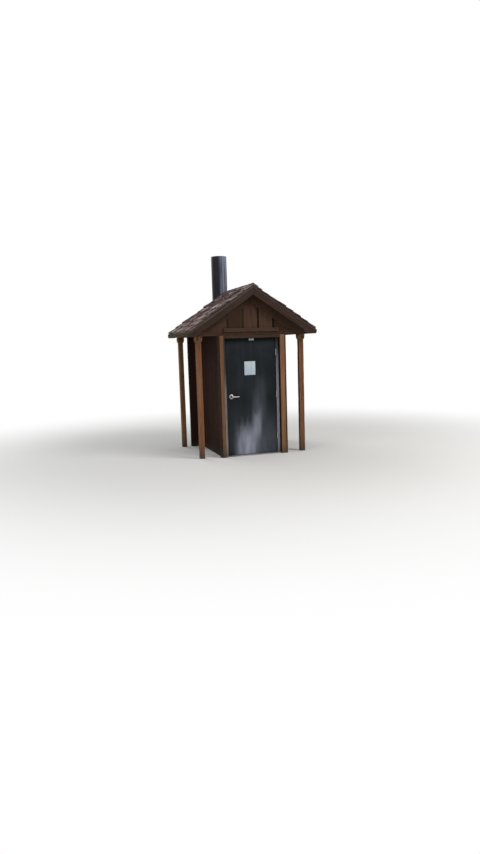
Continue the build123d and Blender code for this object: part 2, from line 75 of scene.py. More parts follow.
Array = np.ndarray
Colour = tuple[float, float, float]
Span = tuple[float, float]
Point = Sequence[float]
Box = tuple[Point, Point]
Ends = Callable[[Array], tuple[Array, Array]]
Random = np.random.Generator
Node = bpy.types.Node
Socket = bpy.types.NodeSocket
Soil = list[tuple[Socket, Colour, float]]


class Side(Enum):
    """The two sides of the hut, as the sign of X."""

    LEFT = -1
    RIGHT = 1

    @property
    def word(self) -> str:
        """The side's name as the nodes spell it."""
        return self.name.lower()


class Grain(Enum):
    """The direction that the grain of an upright or level timber runs in, as an axis number."""

    ALONG_X = 0
    ALONG_Y = 1
    ALONG_Z = 2


class Lap(Enum):
    """Which board of a pair runs over the other where they meet on the ridge."""

    UNDER = 0
    OVER = 1


def srgb(red: int, green: int, blue: int) -> Colour:
    """Turns a display colour into the linear colour that a shader takes.

    The formula is c/12.92 below 0.04045 and ((c + 0.055)/1.055) to the power 2.4 above it.

    Args:
        red: Red from 0 to 255.
        green: Green from 0 to 255.
        blue: Blue from 0 to 255.

    Returns:
        The linear colour.
    """
    shown = np.array([red, green, blue]) / 255
    linear = np.where(shown <= 0.04045, shown / 12.92, ((shown + 0.055) / 1.055) ** 2.4)
    return tuple(float(value) for value in linear)


def node_box(name: str) -> tuple[Array, Array]:
    """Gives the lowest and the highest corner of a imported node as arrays."""
    low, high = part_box(name)
    return np.array(low), np.array(high)


def moved(corner: Array, **places: float) -> Array:
    """Gives a copy of a corner with a new x, y or z."""
    return np.array([places.get(axis, old) for axis, old in zip("xyz", corner)])


@dataclass
class Surface:
    """Points, faces and wood coordinates of one or more closed shapes, before they are a mesh."""

    points: Array
    quads: Array
    caps: list[Array]  # faces with more corners, which close the ends
    grain: Array  # each point's place along, across and through its own board
    board: Array  # a random number from 0 to 1 that the points of a board share
    wear: Array  # how exposed each point's edge is, from 0 to 1; below 0 it marks painted shade in grooves and laps

    def placed(self, axes: Array, origin: Point) -> "Surface":
        """Carries the surface from its own axes into the frame: origin plus axes times point.

        Args:
            axes: Columns are the directions of the local X, Y and Z.
            origin: Where the local origin goes.

        Returns:
            The placed surface, with its faces still pointing outwards.
        """
        made = replace(self, points=self.points @ axes.T + np.asarray(origin))
        return made if np.linalg.det(axes) > 0 else made.flipped()

    def facing(self, outward: int, place: Point) -> "Surface":
        """Turns the local Z to face along Y, with outward as its sign, and puts the origin in place."""
        return self.placed(np.array([[1.0, 0, 0], [0, 0, outward], [0, -outward, 0]]), place)

    def flipped(self) -> "Surface":
        """Turns every face round."""
        return replace(self, quads=self.quads[:, ::-1], caps=[cap[::-1] for cap in self.caps])


def joined(surfaces: Sequence[Surface]) -> Surface:
    """Puts several surfaces into one, with their point numbers moved on.

    Args:
        surfaces: The surfaces to put together.

    Returns:
        One surface with all their points and faces.
    """
    starts = np.cumsum([0] + [len(surface.points) for surface in surfaces])
    quads = np.concatenate([surface.quads + start for surface, start in zip(surfaces, starts)])
    caps = [cap + start for surface, start in zip(surfaces, starts) for cap in surface.caps]
    words = ("points", "grain", "board", "wear")
    rows = {word: np.concatenate([getattr(surface, word) for surface in surfaces]) for word in words}
    return Surface(quads=quads, caps=caps, **rows)


def ring_quads(ring_count: int, ring_size: int) -> Array:
    """Joins each ring of points to the next: point j, j+1, then j+1 and j of the next ring.

    Args:
        ring_count: How many rings there are.
        ring_size: How many points each ring has.

    Returns:
        The quads, which point outwards where rings turn anticlockwise seen from the last one.
    """
    ring, place = np.meshgrid(np.arange(ring_count - 1), np.arange(ring_size), indexing="ij")
    after = (place + 1) % ring_size
    low, high = ring * ring_size, (ring + 1) * ring_size
    return np.stack([low + place, low + after, high + after, high + place], axis=-1).reshape(-1, 4)


def plain_surface(rings: Array) -> Surface:
    """Joins rings of points into a closed surface, whose grain is its own place.

    Args:
        rings: The points by ring, by their number in the ring, and by axis.

    Returns:
        The surface, with no worn edges.
    """
    points, ring = rings.reshape(-1, 3), np.arange(rings.shape[1])
    caps = [ring[::-1], ring + len(points) - len(ring)]
    board, wear = np.full(len(points), 0.5), np.zeros(len(points))
    return Surface(points, ring_quads(*rings.shape[:2]), caps, points.copy(), board, wear)


class NoiseTable:
    """Smooth noise of two parameters, from a square table of random values."""

    SIZE = 64

    def __init__(self, rng: Random) -> None:
        """Draws the table's values between -1 and 1."""
        self.values = rng.uniform(-1, 1, (self.SIZE, self.SIZE))

    def at(self, first: Array, second: Array) -> Array:
        """Reads the noise at two parameters.

        Between whole numbers the four nearest values are blended by f*f*(3 - 2f) both ways.

        Args:
            first: The first parameter, in steps of the table.
            second: The second parameter, in steps of the table.

        Returns:
            Noise between -1 and 1 in the shape of the parameters.
        """
        first, second = np.broadcast_arrays(first, second)
        low_first, low_second = np.floor(first).astype(int), np.floor(second).astype(int)
        part_first, part_second = first - low_first, second - low_second
        part_first = part_first * part_first * (3 - 2 * part_first)
        part_second = part_second * part_second * (3 - 2 * part_second)
        rows, next_rows = low_first % self.SIZE, (low_first + 1) % self.SIZE
        columns, next_columns = low_second % self.SIZE, (low_second + 1) % self.SIZE
        near = self.values[rows, columns] * (1 - part_second) + self.values[rows, next_columns] * part_second
        far = self.values[next_rows, columns] * (1 - part_second)
        far = far + self.values[next_rows, next_columns] * part_second
        return near * (1 - part_first) + far * part_first


@dataclass(frozen=True)
class Timber:
    """How a sawn timber or board is shaped: its worn edges and its uneven faces, in metres."""

    # The range of a board's place along, across and through its tree
    HEART_LOW: ClassVar = (0.0, -0.06, 0.03)
    HEART_HIGH: ClassVar = (40.0, 0.06, 0.14)

    edge_radius: float = 0.003
    relief: float = 0.0012  # how deep its faces dip
    edge_wear: float = 0.003  # how deep its edges are knocked in at the worst places
    station: float = 0.06  # from one section along it to the next
    face_step: float = 0.03  # from one point across it to the next
    arc_points: int = 3  # on each corner
    edge_band: float = 0.005  # from a corner to the first point of a face

    def section(self, width: float, thickness: float) -> tuple[Array, Array, Array]:
        """Gives the rounded rectangle of the timber's section, anticlockwise.

        Each side is a straight run of points. Each corner is a quarter circle about a centre one
        radius in from both sides: centre + radius (cos a, sin a).

        Args:
            width: The size across, along local Y.
            thickness: The size through, along local Z.

        Returns:
            The points, the outward directions and how much each point is on a corner.
        """
        half_y, half_z = width / 2 - self.edge_radius, thickness / 2 - self.edge_radius
        points, outward, corner = [], [], []
        for side in range(4):
            angle = side * pi / 2
            out, along = np.array([cos(angle), sin(angle)]), np.array([-sin(angle), cos(angle)])
            reach, run = (half_y, half_z) if side % 2 == 0 else (half_z, half_y)
            steps = self.side_steps(run)
            points.append(out * (reach + self.edge_radius) + along * steps[:, None])
            outward.append(np.broadcast_to(out, (len(steps), 2)))
            corner.append(np.zeros(len(steps)))
            turn = angle + np.linspace(0, pi / 2, self.arc_points)
            ray = np.stack([np.cos(turn), np.sin(turn)], axis=1)
            points.append(out * reach + along * run + self.edge_radius * ray)
            outward.append(ray)
            corner.append(np.ones(self.arc_points))
        return np.concatenate(points), np.concatenate(outward), np.concatenate(corner)

    def side_steps(self, run: float) -> Array:
        """Gives the points of one straight side, close to both corners and evenly between.

        Args:
            run: Half the straight length of the side.

        Returns:
            Their distances from the side's middle, from low to high.
        """
        inner = run - self.edge_band
        if inner <= self.edge_band:
            return np.zeros(1)
        count = max(2, round(2 * inner / self.face_step) + 1)
        return np.linspace(-inner, inner, count)

    def cut(self, width: float, thickness: float, ends: Ends, rng: Random) -> Surface:
        """Carries the section along local X from one cut end to the other.

        At a place y across, x = start(y) + t (end(y) - start(y)). Every point moves in along its
        outward direction by relief (1 + noise)/2 and, on corners, by edge_wear times what the
        noise has above its middle. The first and last sections are drawn in to round the ends.

        Args:
            width: The size across, along local Y.
            thickness: The size through, along local Z.
            ends: Gives the two ends' x at each y.
            rng: Draws the noise.

        Returns:
            The closed surface.
        """
        outline, outward, corner = self.section(width, thickness)
        start, end = ends(outline[:, 0])
        length = float(np.max(end) - np.min(start))
        inset = min(self.edge_radius / length, 0.2)
        count = max(3, round(length / self.station))
        steps = np.concatenate([[0], np.linspace(inset, 1 - inset, count), [1]])
        along = start[None, :] + steps[:, None] * (end - start)[None, :]
        place = np.arange(len(outline))[None, :]
        table = NoiseTable(rng)
        shallow = 0.5 + 0.5 * table.at(along / 0.35, place / 2.3)
        knocks = np.clip(table.at(along / 0.09 + 17, place / 2.0 + 9) - 0.25, 0, 1)
        inward = self.relief * shallow + self.edge_wear * corner[None, :] * knocks
        inward[[0, -1]] += self.edge_radius * 0.6
        sides = outline[None, :, :] - outward[None, :, :] * inward[:, :, None]
        points = np.concatenate([along[:, :, None], sides], axis=2)
        wear = np.broadcast_to(corner[None, :], points.shape[:2]).copy()
        wear[[0, -1]] = 1
        made = plain_surface(points)
        shift = rng.uniform(self.HEART_LOW, self.HEART_HIGH)
        board = np.full(len(made.points), rng.random())
        return replace(made, grain=made.points + shift, board=board, wear=wear.reshape(-1))

    def block(self, low: Point, high: Point, grain: Grain, rng: Random) -> Surface:
        """Makes an upright or level timber that fills a box, with its grain along one axis.

        Args:
            low: The lowest corner.
            high: The highest corner.
            grain: The axis that the timber runs along.
            rng: Draws the noise.

        Returns:
            The closed surface, in place.
        """
        low, high = np.asarray(low, float), np.asarray(high, float)
        order = [(grain.value + step) % 3 for step in range(3)]
        length, width, thickness = (high - low)[order]
        timber = self.cut(width, thickness, square_ends(-length / 2, length / 2), rng)
        return timber.placed(np.eye(3)[:, order], (low + high) / 2)


def square_ends(start: float, end: float) -> Ends:
    """Gives the function of a timber that is cut square at both ends."""
    return lambda across: (np.full_like(across, start), np.full_like(across, end))


def turned(profile: Sequence[Point], segments: int = 48, closed: bool = False) -> Surface:
    """Turns a profile about local Z: each point (r, z) becomes (r cos a, r sin a, z).

    The profile runs so that the solid lies on its left, as it does going up an outer wall.

    Args:
        profile: Rows of radius and height.
        segments: How many steps the turn has.
        closed: True where the profile comes back to its first point, as on a tube's wall.

    Returns:
        The surface, with flat ends closed by one face each unless the profile is closed.
    """
    profile = np.asarray(profile, float)
    angle = np.linspace(0, 2 * pi, segments, endpoint=False)
    radius, height = profile[:, :1], profile[:, 1:]
    rings = np.stack([radius * np.cos(angle), radius * np.sin(angle), height + 0 * angle], axis=2)
    made = plain_surface(rings)
    if closed:
        made.quads = ring_quads(len(profile) + 1, segments) % len(made.points)
        made.caps = []
    x, y, z = made.points.T
    made.grain = np.stack([z, np.arctan2(y, x), 0 * z], axis=1)
    return made


def swept(centres: Array, widths: Array, heights: Array, segments: int = 20, power: float = 3.0) -> Surface:
    """Carries a rounded section along local X, with its own width and height at each station.

    The section is |y/w|^p + |z/h|^p = 1: y = w c |c|^(2/p - 1), z = h s |s|^(2/p - 1), where c and
    s are the cosine and sine of the angle round it.

    Args:
        centres: Rows of the section's centre.
        widths: Half the width in Y at each station.
        heights: Half the height in Z at each station.
        segments: How many points the section has.
        power: The roundness, 2 for an ellipse and more for a squarer bar.

    Returns:
        The surface, closed at both ends.
    """
    angle = np.linspace(0, 2 * pi, segments, endpoint=False)
    cosine, sine = np.cos(angle), np.sin(angle)
    across = cosine * np.abs(cosine) ** (2 / power - 1 + 1e-9)
    up = sine * np.abs(sine) ** (2 / power - 1 + 1e-9)
    y = centres[:, 1:2] + widths[:, None] * across
    z = centres[:, 2:3] + heights[:, None] * up
    return plain_surface(np.stack([centres[:, :1] + 0 * y, y, z], axis=2))


def rounded_plate(width: float, height: float, thickness: float, corner: float) -> Surface:
    """Makes a flat plate in local X and Z with round corners and a softened front edge.

    The outline is four quarter circles of the corner radius. It is carried through local Y, and
    the front ring is drawn in a little so that the edge catches light.

    Args:
        width: The size in X.
        height: The size in Z.
        thickness: The size in Y, from 0 at the back to -thickness at the front.
        corner: The radius of its corners.

    Returns:
        The closed surface.
    """
    turn = np.concatenate([np.linspace(0, pi / 2, 5) + quarter * pi / 2 for quarter in range(4)])
    centre_x = np.repeat([1, -1, -1, 1], 5) * (width / 2 - corner)
    centre_z = np.repeat([1, 1, -1, -1], 5) * (height / 2 - corner)
    soft = min(thickness * 0.4, 0.0012)
    rings = []
    for depth, inset in ((0, 0), (-thickness + soft, 0), (-thickness, soft)):
        x = centre_x + (corner - inset) * np.cos(turn)
        z = centre_z + (corner - inset) * np.sin(turn)
        rings.append(np.stack([x, np.full_like(x, depth), z], axis=1))
    return plain_surface(np.stack(rings))


FASTENER_PROFILE = np.array([[1.0, 0.0], [1.0, 0.25], [0.8, 0.6], [0.35, 0.8], [0.12, 0.82]])
NAIL_RADIUS, NAIL_HEIGHT, NAIL_SINK = 0.0045, 0.0016, 0.0006
RIDGE_JOINT = 0.001


def fasteners(
    places: Sequence[Point], outward: int, radius: float, height: float, sides: int = 8
) -> Surface:
    """Makes domed nail, screw or bolt heads at many places, all facing one way along Y.

    Each head is a small profile turned about its own axis: radius r times the profile's first
    column, height h times its second.

    Args:
        places: The points where heads sit on a face.
        outward: The direction that they face, as the sign of Y.
        radius: The radius of a head.
        height: How far it stands proud.
        sides: How many sides a head has, 6 for a bolt.

    Returns:
        All the heads in one surface.
    """
    head = turned(FASTENER_PROFILE * [radius, height], sides)
    return joined([head.facing(outward, place) for place in places])


def make_piece(
    name: str, surface: Surface, finish: "Finish", *replaced: str, body: str = "hut", crease: float = 38.0
) -> bpy.types.Object:
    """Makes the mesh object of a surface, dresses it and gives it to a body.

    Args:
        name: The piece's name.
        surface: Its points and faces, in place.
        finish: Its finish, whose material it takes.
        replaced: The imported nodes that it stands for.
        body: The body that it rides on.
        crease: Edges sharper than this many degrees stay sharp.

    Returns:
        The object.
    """
    mesh = bpy.data.meshes.new(name)
    faces = surface.quads.tolist() + [cap.tolist() for cap in surface.caps]
    mesh.from_pydata(surface.points.tolist(), [], faces)
    grain = mesh.attributes.new("grain", "FLOAT_VECTOR", "POINT")
    grain.data.foreach_set("vector", surface.grain.astype(np.float32).reshape(-1))
    for word, values in (("board", surface.board), ("wear", surface.wear)):
        layer = mesh.attributes.new(word, "FLOAT", "POINT")
        layer.data.foreach_set("value", values.astype(np.float32))
    mesh.shade_smooth()
    mesh.set_sharp_from_angle(angle=radians(crease))
    mesh.materials.append(finish.material())
    piece = bpy.data.objects.new(name, mesh)
    bpy.context.scene.collection.objects.link(piece)
    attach(piece, body)
    if replaced:
        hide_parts(*replaced)
    LOG.info("%s: %d faces, rides on %s", name, len(faces), body)
    return piece


class Web:
    """Lays nodes in one node tree and links them."""

    def __init__(self, tree: bpy.types.NodeTree) -> None:
        """Takes the tree to fill."""
        self.tree = tree

    def fill(self, socket: Socket, value: object) -> None:
        """Links a socket to the one that feeds it, or gives it a value of its own.

        Args:
            socket: The input to fill.
            value: An output socket, a colour, a vector or a number.
        """
        if isinstance(value, Socket):
            self.tree.links.new(value, socket)
        elif isinstance(value, tuple) and socket.type == "RGBA":
            socket.default_value = (*value[:3], 1)
        else:
            socket.default_value = value

    def node(self, kind: str, inputs: dict | None = None, **settings: object) -> Node:
        """Adds a node, sets its properties and fills its sockets.

        Args:
            kind: The node's type.
            inputs: A value or an output socket for each input, by name or number.
            settings: The node's own properties.

        Returns:
            The node.
        """
        made = self.tree.nodes.new(kind)
        for word, value in settings.items():
            setattr(made, word, value)
        for key, value in (inputs or {}).items():
            self.fill(made.inputs[key], value)
        return made

    def group(self, shared: "SharedEffect", inputs: dict) -> Node:
        """Places a shared effect with its own values."""
        return self.node("ShaderNodeGroup", inputs, node_tree=shared.tree())

    def math(self, operation: str, first: object, second: object = 0.5, third: object = 0.0) -> Socket:
        """Works out one number from up to three."""
        inputs = {0: first, 1: second, 2: third}
        return self.node("ShaderNodeMath", inputs, operation=operation).outputs[0]

    def times(self, first: object, second: object) -> Socket:
        """Multiplies two numbers."""
        return self.math("MULTIPLY", first, second)

    def sum_of(self, *shares: tuple[Socket, float]) -> Socket:
        """Adds up numbers, each times its own weight.

        Args:
            shares: Each number and its weight.

        Returns:
            The sum.
        """
        (value, weight), *others = shares
        total = self.times(value, weight)
        for value, weight in others:
            total = self.math("MULTIPLY_ADD", value, weight, total)
        return total

    def vector(self, operation: str, first: object, second: object = (0, 0, 0)) -> Node:
        """Works out one vector from two."""
        return self.node("ShaderNodeVectorMath", {0: first, 1: second}, operation=operation)

    def noise(
        self, place: object, scale: float | tuple, detail: float = 3.0, roughness: float = 0.55,
        twist: float = 0.0,
    ) -> Socket:
        """Gives layered noise around one half.

        Args:
            place: Where it is read.
            scale: How fine it is, or how fine it is along each axis.
            detail: How many layers it has.
            roughness: How strong the finer layers are.
            twist: How far it is distorted.

        Returns:
            The noise.
        """
        if isinstance(scale, tuple):
            place, scale = self.vector("MULTIPLY", place, scale).outputs[0], 1.0
        inputs = {"Vector": place, "Scale": scale, "Detail": detail, "Roughness": roughness}
        return self.node("ShaderNodeTexNoise", inputs | {"Distortion": twist}).outputs["Fac"]

    def remap(
        self, value: object, low: object, high: object, new_low: float = 0.0, new_high: float = 1.0
    ) -> Socket:
        """Stretches a value from one range to another, smoothly and held at both ends."""
        inputs = {0: value, 1: low, 2: high, 3: new_low, 4: new_high}
        return self.node("ShaderNodeMapRange", inputs, interpolation_type="SMOOTHSTEP").outputs[0]

    def mix(self, factor: object, first: object, second: object, blend: str = "MIX") -> Socket:
        """Mixes two colours, through the inputs and the output that the node keeps for colours."""
        inputs = {0: factor, 6: first, 7: second}
        return self.node("ShaderNodeMix", inputs, data_type="RGBA", blend_type=blend).outputs[2]

    def layers(self, colour: object, *rows: tuple[Socket, float, Colour]) -> Socket:
        """Lays colours over the first one in turn, each by its mask times its share.

        Args:
            colour: The first colour.
            rows: Each mask, its share and its colour.

        Returns:
            The colour.
        """
        for mask, share, over in rows:
            colour = self.mix(self.times(mask, share), colour, over)
        return colour

    def ramp(self, value: object, *stops: tuple[float, Colour]) -> Socket:
        """Colours a value by stops from low to high.

        Args:
            value: The value.
            stops: Each stop's place and colour.

        Returns:
            The colour.
        """
        made = self.node("ShaderNodeValToRGB", {0: value})
        made.color_ramp.interpolation = "EASE"
        elements = made.color_ramp.elements
        while len(elements) < len(stops):
            elements.new(0.5)
        for element, (position, colour) in zip(elements, stops):
            element.position = position
            element.color = (*colour, 1)
        return made.outputs[0]

    def attribute(self, word: str, output: str = "Fac") -> Socket:
        """Reads one of the mesh's own attributes."""
        return self.node("ShaderNodeAttribute", attribute_name=word).outputs[output]

    def place(self) -> Socket:
        """Gives the place in the object's own axes, which are the frame's."""
        return self.node("ShaderNodeTexCoord").outputs["Object"]

    def parts(self, vector: object) -> tuple[Socket, ...]:
        """Splits a vector into its three numbers."""
        return tuple(self.node("ShaderNodeSeparateXYZ", {0: vector}).outputs)

    def dress(
        self, shader: Node, colour: Socket, rough: Socket, height: Socket, relief: float,
        strength: float = 1.0,
    ) -> None:
        """Feeds the surface shader with a colour, a roughness and a relief.

        Args:
            shader: The surface shader.
            colour: The colour.
            rough: The roughness.
            height: The height of the relief.
            relief: How far that height reaches, in metres.
            strength: How strongly the relief shows.
        """
        inputs = {"Height": height, "Distance": relief, "Strength": strength}
        bump = self.node("ShaderNodeBump", inputs).outputs[0]
        for word, socket in (("Base Color", colour), ("Roughness", rough), ("Normal", bump)):
            self.fill(shader.inputs[word], socket)


RINGS_PER_METRE = 170.0


@dataclass(frozen=True)
class SharedEffect:
    """An effect that several finishes use, kept as one node group."""

    name: str
    takes: tuple[tuple[str, str], ...]  # each input's name and its kind, Vector or Float
    gives: tuple[str, ...]  # the names of its outputs, which are numbers
    build: Callable[[Web, Node], dict]  # fills the web from the inputs and gives the outputs by name

    def tree(self) -> bpy.types.NodeTree:
        """Gives the effect's group, and makes it the first time.

        Returns:
            The node group.
        """
        known = bpy.data.node_groups.get(self.name)
        if known is not None:
            return known
        tree = bpy.data.node_groups.new(self.name, "ShaderNodeTree")
        for word, kind in self.takes:
            tree.interface.new_socket(name=word, in_out="INPUT", socket_type=f"NodeSocket{kind}")
        for word in self.gives:
            tree.interface.new_socket(name=word, in_out="OUTPUT", socket_type="NodeSocketFloat")
        source = tree.nodes.new("NodeGroupInput")
        target = tree.nodes.new("NodeGroupOutput")
        for word, socket in self.build(Web(tree), source).items():
            tree.links.new(socket, target.inputs[word])
        return tree


def build_grain(web: Web, given: Node) -> dict:
    """Builds wood grain from a board's own coordinates, whose axis is the heart of its tree.

    A growth ring ends where the distance from the heart, which wavers a little, passes a whole
    number of ring widths. Tone is broad bands with the rings' dark late wood, fibre is fine
    streaks, and a crack runs where a stretched noise passes its middle while another allows it.

    Args:
        web: The group's web.
        given: The group's inputs: Grain, Coarseness and Cracks.

    Returns:
        The outputs Tone, Fibre, Crack and Height.
    """
    grain, coarseness, cracks = given.outputs["Grain"], given.outputs["Coarseness"], given.outputs["Cracks"]
    broad = web.noise(grain, (0.8, 9, 9), 3, 0.55, 0.6)
    waver = web.noise(grain, (0.9, 6, 6), 2)
    across = web.vector("MULTIPLY", grain, (0, 1, 1)).outputs[0]
    heart = web.vector("LENGTH", across).outputs["Value"]
    rings = web.times(web.math("MULTIPLY_ADD", waver, 0.06, heart), RINGS_PER_METRE)
    early = web.remap(web.math("FRACT", rings), 0.95, 0.3)
    tone = web.sum_of((broad, 0.76), (early, 0.2))
    fine = web.vector("MULTIPLY", grain, (2.5, 75, 75)).outputs[0]
    inputs = {0: fine, "Scale": coarseness}
    fine = web.node("ShaderNodeVectorMath", inputs, operation="SCALE").outputs[0]
    fibre = web.noise(fine, 1.0, 4, 0.65)
    split = web.noise(grain, (1.3, 26, 26), 2, 0.5, 0.3)
    thin = web.remap(web.math("ABSOLUTE", web.math("SUBTRACT", split, 0.5)), 0.022, 0.0)
    where = web.noise(grain, (1.1, 7, 7), 1)
    crack = web.times(thin, web.remap(where, web.math("SUBTRACT", 0.72, cracks), 0.75))
    height = web.math("SUBTRACT", web.sum_of((fibre, 0.5), (tone, 0.5)), crack)
    return {"Tone": tone, "Fibre": fibre, "Crack": crack, "Height": height}


GRAIN_EFFECT = SharedEffect(
    "wood_grain", (("Grain", "Vector"), ("Coarseness", "Float"), ("Cracks", "Float")),
    ("Tone", "Fibre", "Crack", "Height"), build_grain,
)


def build_edge_wear(web: Web, given: Node) -> dict:
    """Builds worn edges: the mesh's own edge value, broken up by noise along the edge."""
    worn = web.times(given.outputs["Edge"], web.noise(given.outputs["Place"], 14.0, 4, 0.7))
    return {"Worn": web.remap(worn, web.math("SUBTRACT", 0.75, given.outputs["Amount"]), 0.75)}


EDGE_EFFECT = SharedEffect(
    "edge_wear", (("Edge", "Float"), ("Place", "Vector"), ("Amount", "Float")), ("Worn",), build_edge_wear
)


def build_weather(web: Web, given: Node) -> dict:
    """Builds what weather leaves: runs down the face, a damp foot and dust on what faces up.

    A run is noise stretched along Z. The foot is strongest on the ground and gone at the Foot
    height, with an uneven edge. Dust follows the upward part of the face's direction.

    Args:
        web: The group's web.
        given: The group's inputs: Place and Foot.

    Returns:
        The outputs Runs, Damp and Dust.
    """
    place = given.outputs["Place"]
    runs = web.remap(web.noise(place, (17, 17, 0.9), 3, 0.6), 0.42, 0.72)
    uneven = web.noise(place, (9, 9, 4), 4, 0.65)
    level = web.math("MULTIPLY_ADD", uneven, 0.22, web.parts(place)[2])
    damp = web.remap(level, web.math("ADD", given.outputs["Foot"], 0.1), 0.09)
    facing = web.parts(web.node("ShaderNodeNewGeometry").outputs["Normal"])[2]
    scattered = web.noise(place, 11.0, 5, 0.65)
    dust = web.times(web.remap(facing, 0.35, 0.95), web.remap(scattered, 0.35, 0.68))
    return {"Runs": runs, "Damp": damp, "Dust": dust}


WEATHER_EFFECT = SharedEffect(
    "weathering", (("Place", "Vector"), ("Foot", "Float")), ("Runs", "Damp", "Dust"), build_weather
)


@dataclass(frozen=True)
class Finish:
    """A finish that becomes one material."""

    name: str
    slot: str = field(default="", kw_only=True)  # in the record, where that isn't the name

    def material(self) -> bpy.types.Material:
        """Gives the finish's material, and makes it the first time.

        Returns:
            The material.
        """
        title = f"{self.name}_finish"
        known = bpy.data.materials.get(title)
        if known is not None:
            return known
        material = bpy.data.materials.new(title)
        material.use_nodes = True
        shader = next(node for node in material.node_tree.nodes if node.type == "BSDF_PRINCIPLED")
        self.paint(Web(material.node_tree), shader)
        return material

    def paint(self, web: Web, shader: Node) -> None:
        """Links the finish's colour, roughness and relief to the surface shader."""
        raise NotImplementedError


@dataclass(frozen=True)
class WoodFinish(Finish):
    """A stained or weathered wood, by its three tones and by how worn it is."""

    dark: Colour
    middle: Colour
    light: Colour
    worn: Colour  # where the stain is gone
    faded: Colour  # what weather turns it to
    fade: float = 0.3  # how much of it has faded, from 0 to 1
    foot: float = 0.16  # how high the damp reaches
    cracks: float = 0.14  # how many there are, from 0 to 0.4
    coarseness: float = 1.0  # of its fibres, where 1 is sawn softwood
    spread: float = 0.32  # how far one board differs from the next in brightness
    roughness: float = 0.8
    relief: float = 0.004  # the height of its grain
    gloss: float = 0.12  # where 0.5 is plain varnish
    damp: Colour = srgb(62, 62, 50)  # the colour of its damp foot

    def paint(self, web: Web, shader: Node) -> None:
        """Builds the wood from its grain, its colour and its relief.

        Args:
            web: The material's web.
            shader: Its surface shader.
        """
        grain = web.attribute("grain", "Vector")
        wood = web.group(GRAIN_EFFECT, {"Grain": grain, "Coarseness": self.coarseness, "Cracks": self.cracks})
        edge = web.group(EDGE_EFFECT, {"Edge": web.attribute("wear"), "Place": grain, "Amount": 0.45})
        colour = self.tint(web, wood, edge)
        rough = web.remap(wood.outputs["Fibre"], 0.3, 0.7, self.roughness - 0.08, self.roughness + 0.1)
        web.dress(shader, colour, rough, wood.outputs["Height"], self.relief)
        shader.inputs["Specular IOR Level"].default_value = self.gloss

    def tint(self, web: Web, wood: Node, edge: Node) -> Socket:
        """Colours the wood: its grain, faded patches, worn edges, cracks, damp, dust and painted shade in its
        grooves.

        Args:
            web: The material's web.
            wood: The grain.
            edge: The worn edges.

        Returns:
            The colour.
        """
        place, board = web.place(), web.attribute("board")
        weather = web.group(WEATHER_EFFECT, {"Place": place, "Foot": self.foot})
        tone = web.sum_of((wood.outputs["Tone"], 0.6), (wood.outputs["Fibre"], 0.4))
        patch = web.remap(web.noise(place, (3, 3, 1.1), 4, 0.6), 0.35, 0.75)
        colour = web.layers(
            web.ramp(tone, (0.3, self.dark), (0.5, self.middle), (0.7, self.light)),
            (web.sum_of((patch, 0.6), (weather.outputs["Runs"], 0.4)), self.fade, self.faded),
            (edge.outputs["Worn"], 0.75, self.worn),
            (wood.outputs["Crack"], 0.8, srgb(18, 14, 12)),
            (weather.outputs["Damp"], 0.75, self.damp),
            (weather.outputs["Dust"], 0.35, srgb(150, 138, 120)),
            # Painted shade: points marked below zero, at the bottoms of grooves and slots, turn dark
            (web.remap(web.attribute("wear"), -0.2, -0.9), 0.85, srgb(18, 13, 11)),
        )
        value = web.remap(board, 0, 1, 1 - self.spread, 1 + self.spread)
        hue = web.remap(web.math("FRACT", web.times(board, 7.3)), 0, 1, 0.492, 0.508)
        return web.node("ShaderNodeHueSaturation", {"Color": colour, "Value": value, "Hue": hue}).outputs[0]


@dataclass(frozen=True)
class ShakeFinish(WoodFinish):
    """Split shakes that the sun has turned grey and brown, each with a tint of its own."""

    tints: tuple[Colour, ...] = (
        srgb(66, 54, 54), srgb(112, 94, 88), srgb(86, 72, 76), srgb(174, 158, 156), srgb(104, 88, 88),
        srgb(76, 62, 60), srgb(204, 190, 188), srgb(128, 106, 98),
    )
    lichen: Colour = srgb(136, 140, 104)
    rust: Colour = srgb(150, 92, 58)

    def tint(self, web: Web, wood: Node, edge: Node) -> Socket:
        """Colours the shakes: a tint for each, its streaks, blotches, lichen and warm stains, pale edges that
        are partly wear and partly a painted highlight, and painted shade with some dirt under the next
        course.

        Args:
            web: The material's web.
            wood: The grain.
            edge: The worn edges.

        Returns:
            The colour.
        """
        place = web.place()
        steps = np.linspace(0, 1, len(self.tints)).tolist()
        own = web.ramp(web.attribute("board"), *zip(steps, self.tints))
        tone = web.sum_of((wood.outputs["Tone"], 0.45), (wood.outputs["Fibre"], 0.55))
        streak = web.ramp(tone, (0.36, self.dark), (0.5, self.middle), (0.62, self.light))
        warm = web.noise(web.vector("ADD", place, (7, 3, 1)).outputs[0], 6.5, 3, 0.6)
        return web.layers(
            web.mix(0.75, own, streak, "OVERLAY"),
            (web.remap(web.noise(place, 4.5, 4, 0.65), 0.45, 0.7), 0.45, self.faded),
            (wood.outputs["Crack"], 0.85, srgb(26, 20, 18)),
            # The pale worn colour on butts and edges is partly wear and partly a painted highlight where the
            # butts catch light
            (edge.outputs["Worn"], 0.55, self.worn),
            (web.remap(web.noise(place, 19.0, 5, 0.7), 0.62, 0.7), 0.3, self.lichen),
            (web.remap(warm, 0.58, 0.68), 0.55, self.rust),
            # Painted shade with some dirt, under the butts of the course above
            (web.remap(web.attribute("wear"), 0.0, -0.8), 0.8, srgb(30, 22, 20)),
        )


